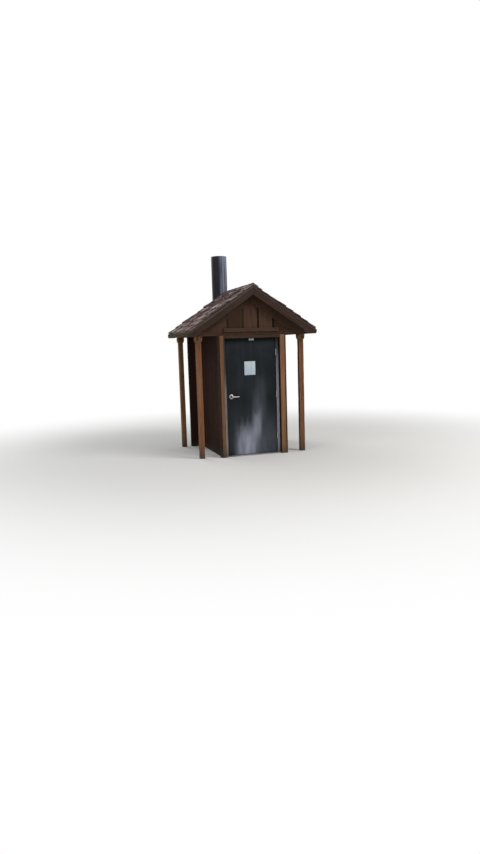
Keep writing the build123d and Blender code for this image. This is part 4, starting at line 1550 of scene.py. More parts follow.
@dataclass
class Roof(Assembly):
    """The roof: rafters, deck, shakes, ridge cap, boards along its edges and boarded gables."""

    seed: int = 37
    shape: RoofShape = field(default_factory=RoofShape.read)
    exposure: float = 0.17  # of each course
    cap_exposure: float = 0.2  # of each pair of cap boards
    narrow: float = 0.085  # the width of the narrowest shake
    wide: float = 0.21  # the width of the widest shake
    shake_gap: float = 0.007
    shake_lifts: Span = (-0.006, 0.011)  # between which shakes are raised
    shake_swell: float = 0.009  # how far their faces rise over the butt's height
    row_end: float = 0.008  # how uneven the ends of a row are
    course_end: float = 0.018  # how uneven the lower ends of a course are
    starter_back: float = 0.004  # how far the starter course is set back
    clearance: float = 0.004  # from the upper end of a shake
    least_rest: float = 0.03  # of a slope or a row that gets one more course or shake
    least_cap: float = 0.1  # the shortest rest of the ridge that gets one more pair
    plank_width: float = 0.14
    plank_gap: float = 0.003
    rafter_depth: float = 0.089
    rafter_pairs: int = 5
    rake_width: float = 0.127
    rake_strip: float = 0.032  # the part of that width under the strip on top
    rake_step: float = 0.006  # how far the board under the strip is set back
    rake_nails: Span = (-0.05, -0.107)  # the heights of their two rows above the deck
    rake_nail_ends: Span = (0.12, 0.08)  # how far they stay from the ridge and the eave
    rake_nail_spacing: float = 0.28
    slot_middle: float = -0.009  # the X that the gable's slots are laid out from
    panel_width: float = 0.279  # from one slot to the next
    slot_width: float = 0.04
    frieze_width: float = 0.209  # square to the slope
    frieze_step: float = 0.001  # how far the upright boards are set back from the frieze
    header_height: float = 0.062  # of the level board under them
    slot_depth: float = 0.6  # as a share of the gable's thickness
    board_depth: float = 0.75  # as a share of it, so that the boards reach into the core
    # How dark the painted shade in the slots is
    slot_shade: float = 0.62
    pale_board: float = 0.85  # the tone of the middle upright board, set paler as painted sunlight on it
    shake: Shake = Shake()
    starter: Shake = Shake(length=0.3, butt=0.0125, head=0.004, rest=0.0005, ridge=0.001)
    cap_shake: Shake = Shake(
        length=0.34, butt=0.0405, head=0.031, rest=0.027, ridge=0.0012, ragged=0.004, exposure=0.2
    )
    cap_starter: Shake = Shake(length=0.3, butt=0.027, head=0.02, rest=0.001, ridge=0.0012, ragged=0.004)

    def build(self) -> None:
        """Makes and dresses every piece of the roof."""
        self.build_frame()
        for side in Side:
            self.build_deck(side)
            self.build_shakes(side)
            node = f"fascia_{side.word}"
            fascia = self.blocks(BOARD, Grain.ALONG_Y, node_box(node))
            slope = self.shape.level(fascia.points[:, 0])
            fascia.points[:, 2] = np.minimum(fascia.points[:, 2], slope)
            make_piece(f"{node}_board", fascia, FASCIA_WOOD, node)
        self.build_ridge_cap()
        for row, outward in (("front", -1), ("rear", 1)):
            self.build_rakes(row, outward)
            self.build_gable(row, outward)
        self.plain("drip_board_ledge", "drip_board", BOARD, Grain.ALONG_X, DRIP_WOOD)

    def build_frame(self) -> None:
        """Makes the ridge board and the rafters."""
        self.plain("ridge_timber", "ridge_board", SAWN, Grain.ALONG_Y, DECK_WOOD)
        low, high = node_box("rafters")
        half, under = node_box("ridge_board")[1][0], -self.shape.deck_thickness
        middles = np.linspace(low[1] + half, high[1] - half, self.rafter_pairs)
        depths = [(middle - half, middle + half) for middle in middles]
        rafters = self.sloping(SAWN, (under - self.rafter_depth, under), depths, (half, high[0]), low[2])
        make_piece("rafter_timbers", rafters, DECK_WOOD, "rafters")

    def build_deck(self, side: Side) -> None:
        """Makes one side's planks, which run along the ridge.

        Args:
            side: The side of the roof.
        """
        node = f"roof_deck_{side.word}"
        low, high = node_box(node)
        thickness = self.shape.deck_thickness
        start = thickness * tan(self.shape.pitch)
        end = max(abs(low[0]), abs(high[0])) / cos(self.shape.pitch)
        marks = np.linspace(start, end, round((end - start) / self.plank_width) + 1)
        half, middle = (high[1] - low[1]) / 2, (low[1] + high[1]) / 2
        parts = []
        for upper, lower in zip(marks[:-1], marks[1:]):
            plank = SAWN.cut(lower - upper - self.plank_gap, thickness, square_ends(-half, half), self.rng)
            place = self.shape.point(side, (upper + lower) / 2, middle, -thickness / 2)
            parts.append(plank.placed(self.shape.axes(side), place))
        make_piece(f"{node}_planks", joined(parts), DECK_WOOD, node)

    def build_shakes(self, side: Side) -> None:
        """Lays one side's shakes in courses from the eave to the ridge, over a starter course.

        Args:
            side: The side of the roof.
        """
        node = f"shakes_{side.word}"
        low, high = node_box(node)
        axes = self.shape.axes(side)[:, [1, 0, 2]]
        highest = self.shake.butt + self.shake_swell
        eave = (self.shape.half_width - highest * sin(self.shape.pitch)) / cos(self.shape.pitch)
        courses = int((eave - self.least_rest) / self.exposure) + 1
        parts = []
        for course in range(-1, courses):
            shape = self.starter if course < 0 else self.shake
            down = eave - max(course, 0) * self.exposure
            fitted = replace(shape, length=min(shape.length, down - self.clearance))
            edge = low[1] + self.rng.uniform(0, self.row_end)
            finish = high[1] - self.rng.uniform(0, self.row_end)
            while edge < finish - self.least_rest:
                # The last shake takes up a rest that is too narrow for one more
                width = self.rng.uniform(self.narrow, self.wide)
                end = finish if edge + width > finish - self.narrow * 0.7 else edge + width
                lift = self.rng.uniform(*self.shake_lifts) if course >= 0 else 0.0
                back = self.rng.uniform(0, self.course_end) + self.starter_back * (course < 0)
                piece = fitted.split(edge, end - self.shake_gap * self.rng.uniform(0.5, 1.5), self.rng, lift)
                parts.append(piece.placed(axes, self.shape.point(side, down - back, 0, 0)))
                edge = end
        shakes = joined(parts)
        shakes.points[:, :2] = np.clip(shakes.points[:, :2], low[:2], high[:2])
        make_piece(f"{node}_courses", shakes, SHAKE_WOOD, node)

    def build_ridge_cap(self) -> None:
        """Lays pairs of cap boards along the ridge, each pair lapping the other way at the top.

        With T the height of a board's face, B that of its underside and p the pitch, the board on
        top ends at y = (T - h cos 2p)/sin 2p up its slope at height h, flush with the face of the
        other one, which ends at y = (B - h cos 2p)/sin 2p, under it.
        """
        low, high = node_box("ridge_cap")
        width = high[0] / cos(self.shape.pitch) - self.shape.ridge_height * tan(self.shape.pitch)
        double = 2 * self.shape.pitch

        def edge(lap: Lap, height: Array, face: Array, under: Array) -> Array:
            """Ends a board at each height, by whether it laps over the other one."""
            reach = face if lap is Lap.OVER else under
            return (reach - height * cos(double)) / sin(double)

        parts = []
        for number in range(int((high[1] - low[1] - self.least_cap) / self.cap_exposure) + 1):
            for side in Side:
                top = partial(edge, Lap((number + (side is Side.LEFT)) % 2))
                start = low[1] + number * self.cap_exposure + self.rng.uniform(0.001, self.row_end)
                room = high[1] - start - self.clearance
                for source in (self.cap_shake, self.cap_starter)[:2 if number == 0 else 1]:
                    fitted = replace(source, length=min(source.length, room))
                    piece = fitted.split(-width + self.rng.uniform(0, self.row_end), top, self.rng)
                    parts.append(piece.placed(self.shape.axes(side), (0, start, self.shape.deck_apex)))
        cap = joined(parts)
        cap.points[:, 2] = np.minimum(cap.points[:, 2], high[2])
        make_piece("ridge_cap_boards", cap, SHAKE_WOOD, "ridge_cap")

    def sloping(
        self, kind: Timber, heights: Span, depths: Sequence[Span], reach: Span, foot: float
    ) -> Surface:
        """Makes timbers that run down both slopes, with plumb cuts at the ridge and the eaves.

        Args:
            kind: How they are sawn.
            heights: Their lower and their upper edge above the deck, square to it.
            depths: The Y of the two faces of each pair, low first.
            reach: The X of the plumb cuts.
            foot: The level under which they are cut off.

        Returns:
            The timbers.
        """
        height = sum(heights) / 2
        ends = self.shape.rafter_ends(height, *reach, foot)
        parts = []
        for side in Side:
            for low, high in depths:
                timber = kind.cut(heights[1] - heights[0], high - low, ends, self.rng)
                place = self.shape.point(side, 0, (low + high) / 2, height)
                parts.append(timber.placed(self.shape.falling(side), place))
        return joined(parts)

    def build_rakes(self, row: str, outward: int) -> None:
        """Makes the boards up a gable's edge: a weathered strip, a set-back one under it, nails.

        Args:
            row: Front or rear.
            outward: The direction that they face, as the sign of Y.
        """
        node = f"rake_boards_{row}"
        low, high = node_box(node)
        face, back = (low[1], high[1])[::-outward]
        set_back, reach = face - outward * self.rake_step, (RIDGE_JOINT, high[0])
        depths = [tuple(sorted((set_back, back)))]
        main = self.sloping(BOARD, (-self.rake_width, -self.rake_strip), depths, reach, low[2])
        make_piece(f"{node}_main", main, BEAM_WOOD, node)
        strip = self.sloping(BOARD, (-self.rake_strip, 0.0), [(low[1], high[1])], reach, low[2])
        make_piece(f"{node}_strip", strip, EDGE_WOOD)
        first, last = self.rake_nail_ends
        downs = np.arange(first, high[0] / cos(self.shape.pitch) - last, self.rake_nail_spacing)
        places = [
            self.shape.point(side, down, set_back - outward * NAIL_SINK, above)
            for side in Side for down in downs for above in self.rake_nails
        ]
        self.nails(node, places, outward)

    def upright(self, across: Span, depths: Span, foot: float, reach: float, kind: Timber) -> Surface:
        """Makes an upright board whose top follows the slope.

        Args:
            across: The X of its two edges.
            depths: The Y of its two faces, low first.
            foot: The level that it stands on.
            reach: The height above the deck that its top follows.
            kind: How it is sawn.

        Returns:
            The board.
        """
        middle = sum(across) / 2

        def ends(offset: Array) -> tuple[Array, Array]:
            """Gives the level foot and the sloping top."""
            return np.full_like(offset, foot), self.shape.level(offset + middle, reach)

        board = kind.cut(across[1] - across[0], depths[1] - depths[0], ends, self.rng)
        return board.placed(np.eye(3)[:, [2, 0, 1]], (middle, sum(depths) / 2, 0))

    def build_gable(self, row: str, outward: int) -> None:
        """Makes a gable: upright boards with slots, dark with painted shade, between a level board and a
        sloping frieze.

        Args:
            row: Front or rear.
            outward: The direction that it faces, as the sign of Y.
        """
        node = f"{row}_gable"
        low, high = node_box(node)
        half, seam = high[0], low[2] + self.header_height
        top, whole = -self.shape.deck_thickness, high[1] - low[1]

        def layer(front: float, back: float) -> Span:
            """Gives two depths behind the gable's face as Y, low first."""
            face = low[1] if outward < 0 else high[1]
            return tuple(sorted((face - outward * front, face - outward * back)))

        core, faced = layer(self.slot_depth * whole, whole), self.board_depth * whole
        # The cores show in the slots, dark with painted shade
        parts = [
            shade_groove_bottom(self.upright((start, start + half), core, seam, top, CORE), self.slot_shade)
            for start in (-half, 0.0)
        ]
        slots = self.slot_middle + self.panel_width * (np.arange(4) - 1.5)
        edges = np.sort([-half, *(slots - self.slot_width / 2), *(slots + self.slot_width / 2), half])
        depths, edge = layer(self.frieze_step, faced), top - self.frieze_width
        parts += [self.upright(across, depths, seam, edge, BOARD) for across in edges.reshape(-1, 2)]
        # The middle board is made paler: painted sunlight
        parts[4].board[:] = self.pale_board
        parts.append(self.sloping(BOARD, (edge, top), [layer(0.0, faced)], (RIDGE_JOINT, half), seam))
        parts.append(self.blocks(BOARD, Grain.ALONG_X, (low, moved(high, z=seam))))
        make_piece(f"boards_{node}", joined(parts), GABLE_WOOD, node)


@dataclass
class Doorway(Assembly):
    """The steel door in its frame, with hinges, lever, sign and the plate at its head."""

    seed: int = 53
    leaf_gap: float = 0.007  # round the leaf
    stop_gap: float = 0.006  # from the leaf to the stop behind it
    screw_inset: float = 0.012  # from the edges of a plate
    screw_radius: float = 0.004
    screw_height: float = 0.0016
    sink: float = 0.0002  # how far small parts reach into what they sit on
    hinge_height: float = 0.114
    barrel_radius: float = 0.008  # of a hinge
    plate_thickness: float = 0.0025  # of a hinge
    knuckle_gap: float = 0.0005
    spindle_radius: float = 0.008
    hub_radius: float = 0.013  # of the lever
    lock_radius: float = 0.0105  # in the hub's end
    grip_thickness: float = 0.014
    grip_thinning: float = 0.0018  # how much less half its thickness is at the tip
    grip_half: float = 0.0098  # half its height at the hub
    grip_taper: float = 0.0028  # how much less that is at the tip
    grip_droop: float = 0.0012
    neck_gap: float = 0.0005  # from the leaf to the lever's neck
    keyhole_half: Span = (0.0011, 0.004)  # half its width and half its height

    def __post_init__(self) -> None:
        """Starts the random source and reads the leaf's box."""
        super().__post_init__()
        self.leaf_low, self.leaf_high = node_box("door_leaf")

    def build(self) -> None:
        """Makes and dresses every piece of the doorway."""
        self.build_frame()
        self.plain("leaf_panel", "door_leaf", FOLDED, Grain.ALONG_Z, DOOR_PAINT, "door")
        self.build_plates()
        self.build_hinges()
        self.build_roses()
        self.build_lever()

    def build_frame(self) -> None:
        """Makes the frame's jambs and head, each a face with a stop behind the leaf."""
        stop_y = self.leaf_high[1] + self.stop_gap
        for side in Side:
            node = f"door_frame_{side.word}"
            low, high = node_box(node)
            if side is Side.LEFT:
                face, finish = (low, moved(high, x=self.leaf_low[0] - self.leaf_gap)), SHADED_STRIP_PAINT
            else:
                face, finish = (moved(low, x=self.leaf_high[0] + self.leaf_gap), high), FRAME_PAINT
            jamb = self.blocks(FOLDED, Grain.ALONG_Z, face, (moved(low, y=stop_y), high))
            make_piece(f"{node}_jamb", jamb, finish, node)
        low, high = node_box("door_frame_head")
        inner = node_box("door_frame_left")[1][0]
        face = moved(low, z=self.leaf_high[2] + self.leaf_gap), high
        stop = moved(low, x=inner, y=stop_y), moved(high, x=-inner)
        head = self.blocks(FOLDED, Grain.ALONG_X, face, stop)
        make_piece("door_frame_head_bar", head, FRAME_PAINT, "door_frame_head")

    def build_plates(self) -> None:
        """Makes the bare sign and the small plate at the leaf's head, each with its screws."""
        for node, corner, rows, finish in (
            ("sign_plate", 0.008, (-1, 1), SIGN_PAINT),
            ("head_plate", 0.004, (0,), ZINC),
        ):
            low, high = node_box(node)
            x, _, z = (low + high) / 2
            width, thickness, height = high - low
            plate = rounded_plate(width, height, thickness, corner).placed(np.eye(3), (x, high[1], z))
            make_piece(f"{node}_sheet", plate, finish, node, body="door")
            reach_x, reach_z = width / 2 - self.screw_inset, height / 2 - self.screw_inset
            places = [
                (x + across * reach_x, low[1] + self.sink, z + up * reach_z)
                for across in (-1, 1) for up in rows
            ]
            screws = fasteners(places, -1, self.screw_radius, self.screw_height, sides=12)
            make_piece(f"screws_{node}", screws, SATIN_STEEL, body="door")

    def knuckle(self, x: float, y: float, low: float, high: float) -> Surface:
        """Makes one knuckle of a hinge: a short cylinder with bevelled ends.

        Args:
            x: The X of its axis.
            y: The Y of its axis.
            low: The height of its foot.
            high: The height of its top.

        Returns:
            The closed surface.
        """
        radius, bevel = self.barrel_radius, self.barrel_radius * 0.12
        narrow = radius - bevel
        profile = [(narrow, low), (radius, low + bevel), (radius, high - bevel), (narrow, high)]
        return turned(profile, 28).placed(np.eye(3), (x, y, 0))

    def tip(self, x: float, y: float, level: float, up: int) -> Surface:
        """Makes the button on the end of a hinge's pin.

        Args:
            x: The X of its axis.
            y: The Y of its axis.
            level: The height of the barrel's end.
            up: 1 above the barrel and -1 below it.

        Returns:
            The closed surface.
        """
        angle = np.linspace(0, pi / 2 * 0.92, 5)
        profile = self.barrel_radius * np.stack([0.72 * np.cos(angle), 0.6 * np.sin(angle)], axis=1)
        return turned(profile, 20).placed(np.diag([1, up, up]), (x, y, level))

    def build_hinges(self) -> None:
        """Makes the three butt hinges: outer knuckles on the frame, the middle one on the leaf."""
        low, high = node_box("frame_hinges")
        x, y = sum(corner[0] for corner in node_box("leaf_hinges")) / 2, low[1] + self.barrel_radius
        door_edge = self.leaf_high[0]
        jamb_edge = door_edge + self.leaf_gap - self.plate_thickness
        front = node_box("door_frame_right")[0][1] + self.knuckle_gap
        third = self.hinge_height / 3
        fixed, moving = [], []
        for level in np.linspace(low[2], high[2] - self.hinge_height, 3):
            top = level + self.hinge_height
            outer = (level, level + third), (top - third, top)
            middle = level + third + self.knuckle_gap, top - third - self.knuckle_gap
            fixed += [self.knuckle(x, y, *span) for span in outer]
            fixed += [self.tip(x, y, top, 1), self.tip(x, y, level, -1)]
            moving.append(self.knuckle(x, y, *middle))
            for half, start, spans in ((fixed, jamb_edge, outer), (moving, door_edge, (middle,))):
                end = start + self.plate_thickness
                necks = [((start, y, lower), (end, front + 0.001, upper)) for lower, upper in spans]
                plate = (start, front, level), (end, high[1], top)
                half.append(self.blocks(THIN, Grain.ALONG_Z, plate, *necks))
        make_piece("hinge_frame_halves", joined(fixed), SATIN_STEEL, "frame_hinges")
        make_piece("hinge_leaf_halves", joined(moving), SATIN_STEEL, "leaf_hinges", body="door")

    def build_roses(self) -> None:
        """Makes the stepped round roses on both faces of the leaf, each round a dark ring that paints the
        shade round the lever's neck.
        """
        low, high = node_box("lever_roses")
        radius, thickness = (high[0] - low[0]) / 2, self.leaf_low[1] - low[1]
        hole, seat = self.spindle_radius + 0.001, 0.58 * radius
        shares = np.array([
            [1.0, 0.0], [1.0, 0.22], [0.96, 0.4], [0.8, 0.5], [0.74, 0.62], [0.7, 0.88], [0.66, 0.98],
            [0.61, 1.0], [0.58, 0.92], [0.58, 0.0],
        ])
        shade_ring = np.array([[seat, 0.0], [seat, 0.7], [seat * 0.96, 0.78], [hole, 0.78], [hole, 0.0]])
        x, _, z = (low + high) / 2
        for name, profile, finish, nodes in (
            ("rose_pair", shares * [radius, thickness], SATIN_STEEL, ("lever_roses",)),
            ("rose_bushes", shade_ring * [1.0, thickness], LOCK_AND_SHADE_STEEL, ()),
        ):
            ring = turned(profile, 56, closed=True)
            pair = [ring.facing(-1, (x, self.leaf_low[1], z)), ring.facing(1, (x, self.leaf_high[1], z))]
            make_piece(name, joined(pair), finish, *nodes, body="door")

    def build_lever(self) -> None:
        """Makes a hub, a tapered grip and a neck on both faces of the leaf, and the dark lock.

        The spindle is left out inside the leaf, where nothing shows.
        """
        low, high = node_box("door_lever")
        rose_low, rose_high = node_box("lever_roses")
        x, z = (rose_low[0] + rose_high[0]) / 2, (low[2] + high[2]) / 2
        length = self.grip_thickness
        share = np.array([0, 0.05, 0.12, 0.25, 0.45, 0.65, 0.82, 0.92, 0.965, 0.988, 1.0])
        tip = np.sqrt(np.clip(1 - (np.clip(share - 0.92, 0, 1) / 0.0801) ** 2, 0.02, 1))
        half_height = (self.grip_half - self.grip_taper * share) * tip
        half_depth = (length / 2 - self.grip_thinning * share) * np.sqrt(tip)
        droop = -self.grip_droop * np.sin(pi * share)
        hub = np.array([[0.86, 0], [1, 0.14], [1, 0.8], [0.9, 0.95], [0.7, 1]]) * [self.hub_radius, length]
        parts = []
        for outward, face in ((-1, low[1]), (1, high[1])):
            depth = np.full_like(share, face - outward * length / 2)
            centres = np.stack([x + (high[0] - x) * share, depth, z + droop], axis=1)
            parts.append(swept(centres, half_depth, half_height, 24, 2.8))
            parts.append(turned(hub, 36).facing(outward, (x, face - outward * length, z)))
        outer = low[1] + length, self.leaf_low[1] - self.neck_gap
        inner = self.leaf_high[1] + self.neck_gap, high[1] - length
        for start, end in (outer, inner):
            neck = [(self.spindle_radius, start), (self.spindle_radius, end)]
            parts.append(turned(neck, 28).facing(1, (x, 0, z)))
        make_piece("lever_handles", joined(parts), SATIN_STEEL, "door_lever", body="lever")
        core = self.lock_radius * np.array([[1.0, 0], [1.0, 0.1], [0.9, 0.16], [0.3, 0.16]])
        lock = turned(core, 32).facing(-1, (x, low[1] + 0.0005, z))
        make_piece("lock_core", lock, LOCK_AND_SHADE_STEEL, body="lever")
        front = low[1] - 0.15 * self.lock_radius
        wide, tall = self.keyhole_half
        slot = (x - wide, front - 2 * self.sink, z - tall), (x + wide, low[1] + self.sink, z + tall)
        make_piece("lock_slot", self.blocks(FINE, Grain.ALONG_Z, slot), SATIN_STEEL, body="lever")


@dataclass
class VentPipe(Assembly):
    """The vent pipe behind the hut, and the two steel straps that hold it to the back wall."""

    seed: int = 71
    wall: float = 0.005  # its thickness
    strap_height: float = 0.04
    strap_thickness: float = 0.005
    foot: float = 0.04  # how far a strap's foot runs out on the wall
    arm_inset: float = 0.039  # how far a strap's arms stand inside the pipe's outer radius
    bolt_place: float = 0.55  # along a foot, as a share of its length
    washer_radius: float = 0.0125
    washer_height: float = 0.003
    bolt_radius: float = 0.0085
    bolt_height: float = 0.007
    dent: float = 0.0018  # how far the pipe is out of round, at most

    def __post_init__(self) -> None:
        """Starts the random source and reads the pipe's radius, height and middle."""
        super().__post_init__()
        low, high = node_box("vent_pipe")
        self.radius, self.height = (high[0] - low[0]) / 2, high[2]
        self.x, self.y, _ = (low + high) / 2

    def build(self) -> None:
        """Makes and dresses the pipe, the straps and their bolts."""
        self.build_pipe()
        self.build_straps()

    def build_pipe(self) -> None:
        """Makes the pipe: a wall with a round rim, drawn in a little where it is dented.

        The rim is half a circle over the wall. A point at angle a and height z moves in towards
        the axis by dent (1 + noise)/2.
        """
        half, radius, height = self.wall / 2, self.radius, self.height
        levels = np.linspace(0, height - half, 30)
        outer = np.stack([np.full_like(levels, radius), levels], axis=1)
        arc = np.linspace(0, pi, 7)[1:-1]
        rim = np.stack([radius - half + half * np.cos(arc), height - half + half * np.sin(arc)], axis=1)
        inner = outer[::-1] - [self.wall, 0]
        pipe = turned(np.concatenate([outer, rim, inner]), 72, closed=True)
        x, y, z = pipe.points.T
        around = 3 * np.abs(np.arctan2(y, x)) / pi
        inward = self.dent * (0.5 + 0.5 * NoiseTable(self.rng).at(around, z / 0.5))
        pipe.points[:, :2] *= 1 - inward[:, None] / radius
        # The rim's wear starts 12 mm under the top and is full 4 mm under it
        pipe.wear = np.clip((z - height + 0.012) / 0.008, 0, 1)
        make_piece("pipe_tube", pipe.placed(np.eye(3), (self.x, self.y, 0)), PIPE_BLACK, "vent_pipe")

    def strap(self, wall_y: float, level: float) -> Surface:
        """Makes a strap: a flat bar carried along its plan, from foot to arm, round, and back.

        The plan is a foot along the wall, an arm square to it, and an arc round the pipe:
        x = -r sin a, y = centre - r cos a, with x from the pipe's middle. The bar's sides lie half
        its thickness either way along the plan's own normal.

        Args:
            wall_y: The Y of the wall's face.
            level: The height of the strap's lower edge.

        Returns:
            The closed surface.
        """
        half, soft, corner = self.strap_thickness / 2, 0.0008, 0.006
        arm, ring, foot_y = self.radius - self.arm_inset, self.radius + half, wall_y + half
        opening = np.arcsin(arm / ring)
        angle = np.linspace(opening, 2 * pi - opening, 72)
        arc = np.stack([-ring * np.sin(angle), self.y - ring * np.cos(angle)], axis=1)
        turn = np.linspace(0, pi / 2, 5)
        bend = corner * np.stack([np.sin(turn) - 1, 1 - np.cos(turn)], axis=1) + [-arm, foot_y]
        start = np.concatenate([[[-arm - self.foot, foot_y]], bend, [[-arm, arc[0, 1] - corner]]])
        plan = np.concatenate([start, arc, start[::-1] * [-1, 1]]) + [self.x, 0]
        ahead = np.gradient(plan, axis=0)
        ahead /= np.linalg.norm(ahead, axis=1, keepdims=True)
        normal = np.stack([-ahead[:, 1], ahead[:, 0]], axis=1)
        outline = np.array([
            [half, soft], [half, self.strap_height - soft], [half - soft, self.strap_height],
            [-half + soft, self.strap_height], [-half, self.strap_height - soft], [-half, soft],
            [-half + soft, 0], [half - soft, 0],
        ])
        flat = plan[:, None, :] + normal[:, None, :] * outline[None, :, :1]
        heights = np.broadcast_to(level + outline[None, :, 1:], (*flat.shape[:2], 1))
        return plain_surface(np.concatenate([flat, heights], axis=2)).flipped()

    def build_straps(self) -> None:
        """Makes both straps and the hexagonal bolts through their feet."""
        low, high = node_box("pipe_straps")
        wall_y = node_box("back_wall")[1][1]
        levels = (low[2], high[2] - self.strap_height)
        straps = joined([self.strap(wall_y, level) for level in levels])
        make_piece("strap_bands", straps, ZINC, "pipe_straps")
        out = self.radius - self.arm_inset + self.foot * self.bolt_place
        places = np.array([
            [self.x + side.value * out, wall_y + self.strap_thickness, level + self.strap_height / 2]
            for level in levels for side in Side
        ])
        washers = fasteners(places, 1, self.washer_radius, self.washer_height, sides=20)
        places = places + [0, self.washer_height / 2, 0]
        heads = fasteners(places, 1, self.bolt_radius, self.bolt_height, sides=6)
        make_piece("strap_bolts", joined([washers, heads]), ZINC)


def stand(name: str, data: bpy.types.ID, axes: Sequence[Point], place: Point) -> bpy.types.Object:
    """Puts a camera or a lamp in the scene.

    Args:
        name: The object's name.
        data: The camera or the lamp.
        axes: Rows are the directions of its own X, Y and Z.
        place: Where it stands.

    Returns:
        The object.
    """
    matrix = np.eye(4)
    matrix[:3, :3], matrix[:3, 3] = np.transpose(axes), place
    made = bpy.data.objects.new(name, data)
    made.matrix_world = Matrix(matrix.tolist())
    bpy.context.scene.collection.objects.link(made)
    return made


@dataclass(frozen=True)
class CameraFit:
    """The photograph's camera, fitted to the edges of the object that it shows."""

    position: tuple[float, float, float] = (-3.511, -11.569, 1.973)
    yaw: float = 16.969  # degrees from +Y towards +X
    pitch: float = 7.443  # degrees down
    roll: float = -1.764  # degrees about its own axis
    focal_pixels: float = 640.0  # in pixels of the photograph
    sensor_height: float = 36.0  # in millimetres

    def build(self) -> None:
        """Makes the camera.

        Forward is (sin y cos p, cos y cos p, -sin p), right is (cos y, -sin y, 0) and down is
        forward x right. Right and down are then turned by the roll about forward.
        """
        yaw, pitch, roll = radians(self.yaw), radians(self.pitch), radians(self.roll)
        forward = np.array([sin(yaw) * cos(pitch), cos(yaw) * cos(pitch), -sin(pitch)])
        right = np.array([cos(yaw), -sin(yaw), 0.0])
        down = np.cross(forward, right)
        turned_right = cos(roll) * right - sin(roll) * down
        turned_down = sin(roll) * right + cos(roll) * down
        data = bpy.data.cameras.new("photo_camera")
        data.sensor_fit = "VERTICAL"
        data.sensor_height = self.sensor_height
        data.sensor_width = self.sensor_height * PHOTO_WIDTH / PHOTO_HEIGHT
        data.lens = self.focal_pixels / PHOTO_HEIGHT * self.sensor_height
        data.clip_end = 200.0
        axes = turned_right, -turned_down, -forward
        bpy.context.scene.camera = stand("photo_camera", data, axes, self.position)


@dataclass(frozen=True)
class Lamp:
    """A square lamp that faces the middle of the object."""

    name: str
    position: tuple[float, float, float]
    size: float  # the length of its side
    power: float  # in watts
    colour: Colour = (1.0, 1.0, 1.0)

    def build(self, target: Array) -> None:
        """Makes the lamp.

        Args:
            target: The point that it faces.
        """
        data = bpy.data.lights.new(self.name, "AREA")
        data.shape, data.size, data.energy, data.color = "SQUARE", self.size, self.power, self.colour
        away = np.array(self.position) - target
        away /= np.linalg.norm(away)
        side = np.cross([0, 0, 1.0], away)
        side /= np.linalg.norm(side)
        stand(self.name, data, (side, np.cross(away, side), away), self.position)


def emptied(owner: bpy.types.Material | bpy.types.World) -> Web:
    """Takes every node out of a material or a world, and gives its web.

    Args:
        owner: The material or the world.

    Returns:
        The empty web.
    """
    owner.use_nodes = True
    owner.node_tree.nodes.clear()
    return Web(owner.node_tree)


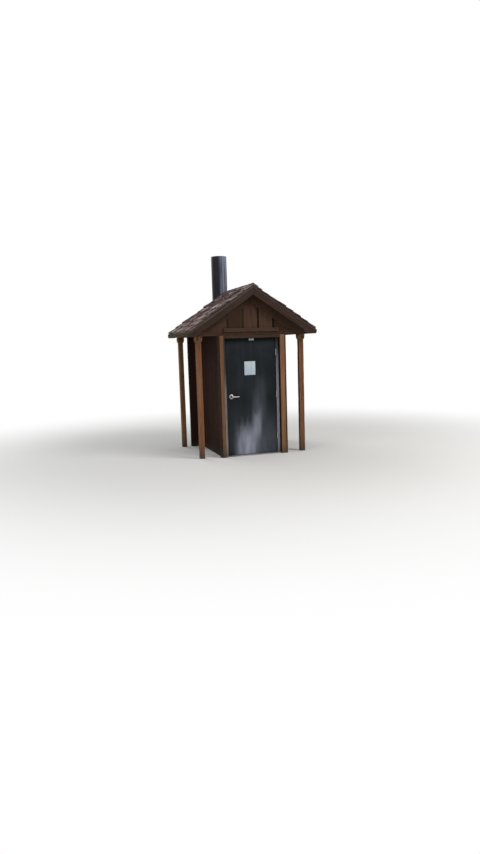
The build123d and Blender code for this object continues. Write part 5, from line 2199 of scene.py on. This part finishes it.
@dataclass(frozen=True)
class Studio:
    """A pale floor that fades to white, soft lamps and the photograph's camera."""

    floor_colour: Colour = (0.84, 0.84, 0.83)  # near the object
    floor_radius: float = 60.0
    fade: tuple[float, float] = (2.6, 8.0)  # the distances at which the floor starts to fade and is white
    ambient: float = 0.42  # the strength of the light from all round
    lamps: tuple[Lamp, ...] = (
        Lamp("key", (6.0, -7.5, 8.0), 5.0, 620.0, (1.0, 0.97, 0.92)),
        Lamp("fill", (-8.0, -5.0, 5.0), 6.0, 130.0, (0.94, 0.97, 1.0)),
        Lamp("back", (-4.0, 9.0, 7.5), 6.0, 320.0),
    )
    camera: CameraFit = CameraFit()

    def build(self) -> None:
        """Makes the floor, the world, the lamps and the camera."""
        bpy.context.scene.view_settings.view_transform = "Standard"
        self.build_floor()
        self.build_world()
        target = (np.array(CAD_BOX[0]) + np.array(CAD_BOX[1])) / 2
        for lamp in self.lamps:
            lamp.build(target)
        self.camera.build()

    def seen(self, web: Web) -> Socket:
        """Gives 1 for rays that show the background: from the camera, mirrored or let through.

        Args:
            web: The web of the floor or the world.

        Returns:
            1 or 0.
        """
        path = web.node("ShaderNodeLightPath").outputs
        direct = web.math("MAXIMUM", path["Is Camera Ray"], path["Is Glossy Ray"])
        return web.math("MAXIMUM", direct, path["Is Transmission Ray"])

    def build_floor(self) -> None:
        """Makes the round floor, pale near the object and white far from it."""
        angle = np.linspace(0, 2 * pi, 96, endpoint=False)
        ring = self.floor_radius * np.stack([np.cos(angle), np.sin(angle), 0 * angle], axis=1)
        mesh = bpy.data.meshes.new("studio_floor")
        mesh.from_pydata(ring.tolist(), [], [list(range(len(angle)))])
        material = bpy.data.materials.new("studio_floor")
        web = emptied(material)
        away = web.vector("LENGTH", web.place()).outputs["Value"]
        part = web.times(web.remap(away, *self.fade), self.seen(web))
        matt = web.node("ShaderNodeBsdfDiffuse", {"Color": self.floor_colour})
        white = web.node("ShaderNodeEmission", {"Color": (1.0, 1.0, 1.0), "Strength": 1.0})
        blend = web.node("ShaderNodeMixShader", {0: part, 1: matt.outputs[0], 2: white.outputs[0]})
        web.node("ShaderNodeOutputMaterial", {"Surface": blend.outputs[0]})
        mesh.materials.append(material)
        floor = bpy.data.objects.new("studio_floor", mesh)
        bpy.context.scene.collection.objects.link(floor)

    def build_world(self) -> None:
        """Makes the world: white where it is seen, and a plain level of light elsewhere."""
        world = bpy.data.worlds.new("studio_world")
        bpy.context.scene.world = world
        web = emptied(world)
        strength = web.remap(self.seen(web), 0, 1, self.ambient, 1.0)
        light = web.node("ShaderNodeBackground", {"Color": (1.0, 1.0, 1.0), "Strength": strength})
        web.node("ShaderNodeOutputWorld", {"Surface": light.outputs[0]})


def write_sizes() -> None:
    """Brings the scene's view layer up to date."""
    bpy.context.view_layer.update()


def main() -> None:
    """Builds the sub-assemblies in order, then the studio round them."""
    logging.basicConfig(level=logging.INFO, format="%(name)s %(message)s")
    for assembly in (Hut(), PostFrame(), Roof(), Doorway(), VentPipe()):
        LOG.info("building %s", type(assembly).__name__)
        assembly.build()
    shown = [name for name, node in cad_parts.items() if not node.hide_render]
    LOG.info("packed nodes still shown: %s", ", ".join(sorted(shown)) or "none")
    Studio().build()
    write_sizes()


if __name__ == "__main__":
    main()
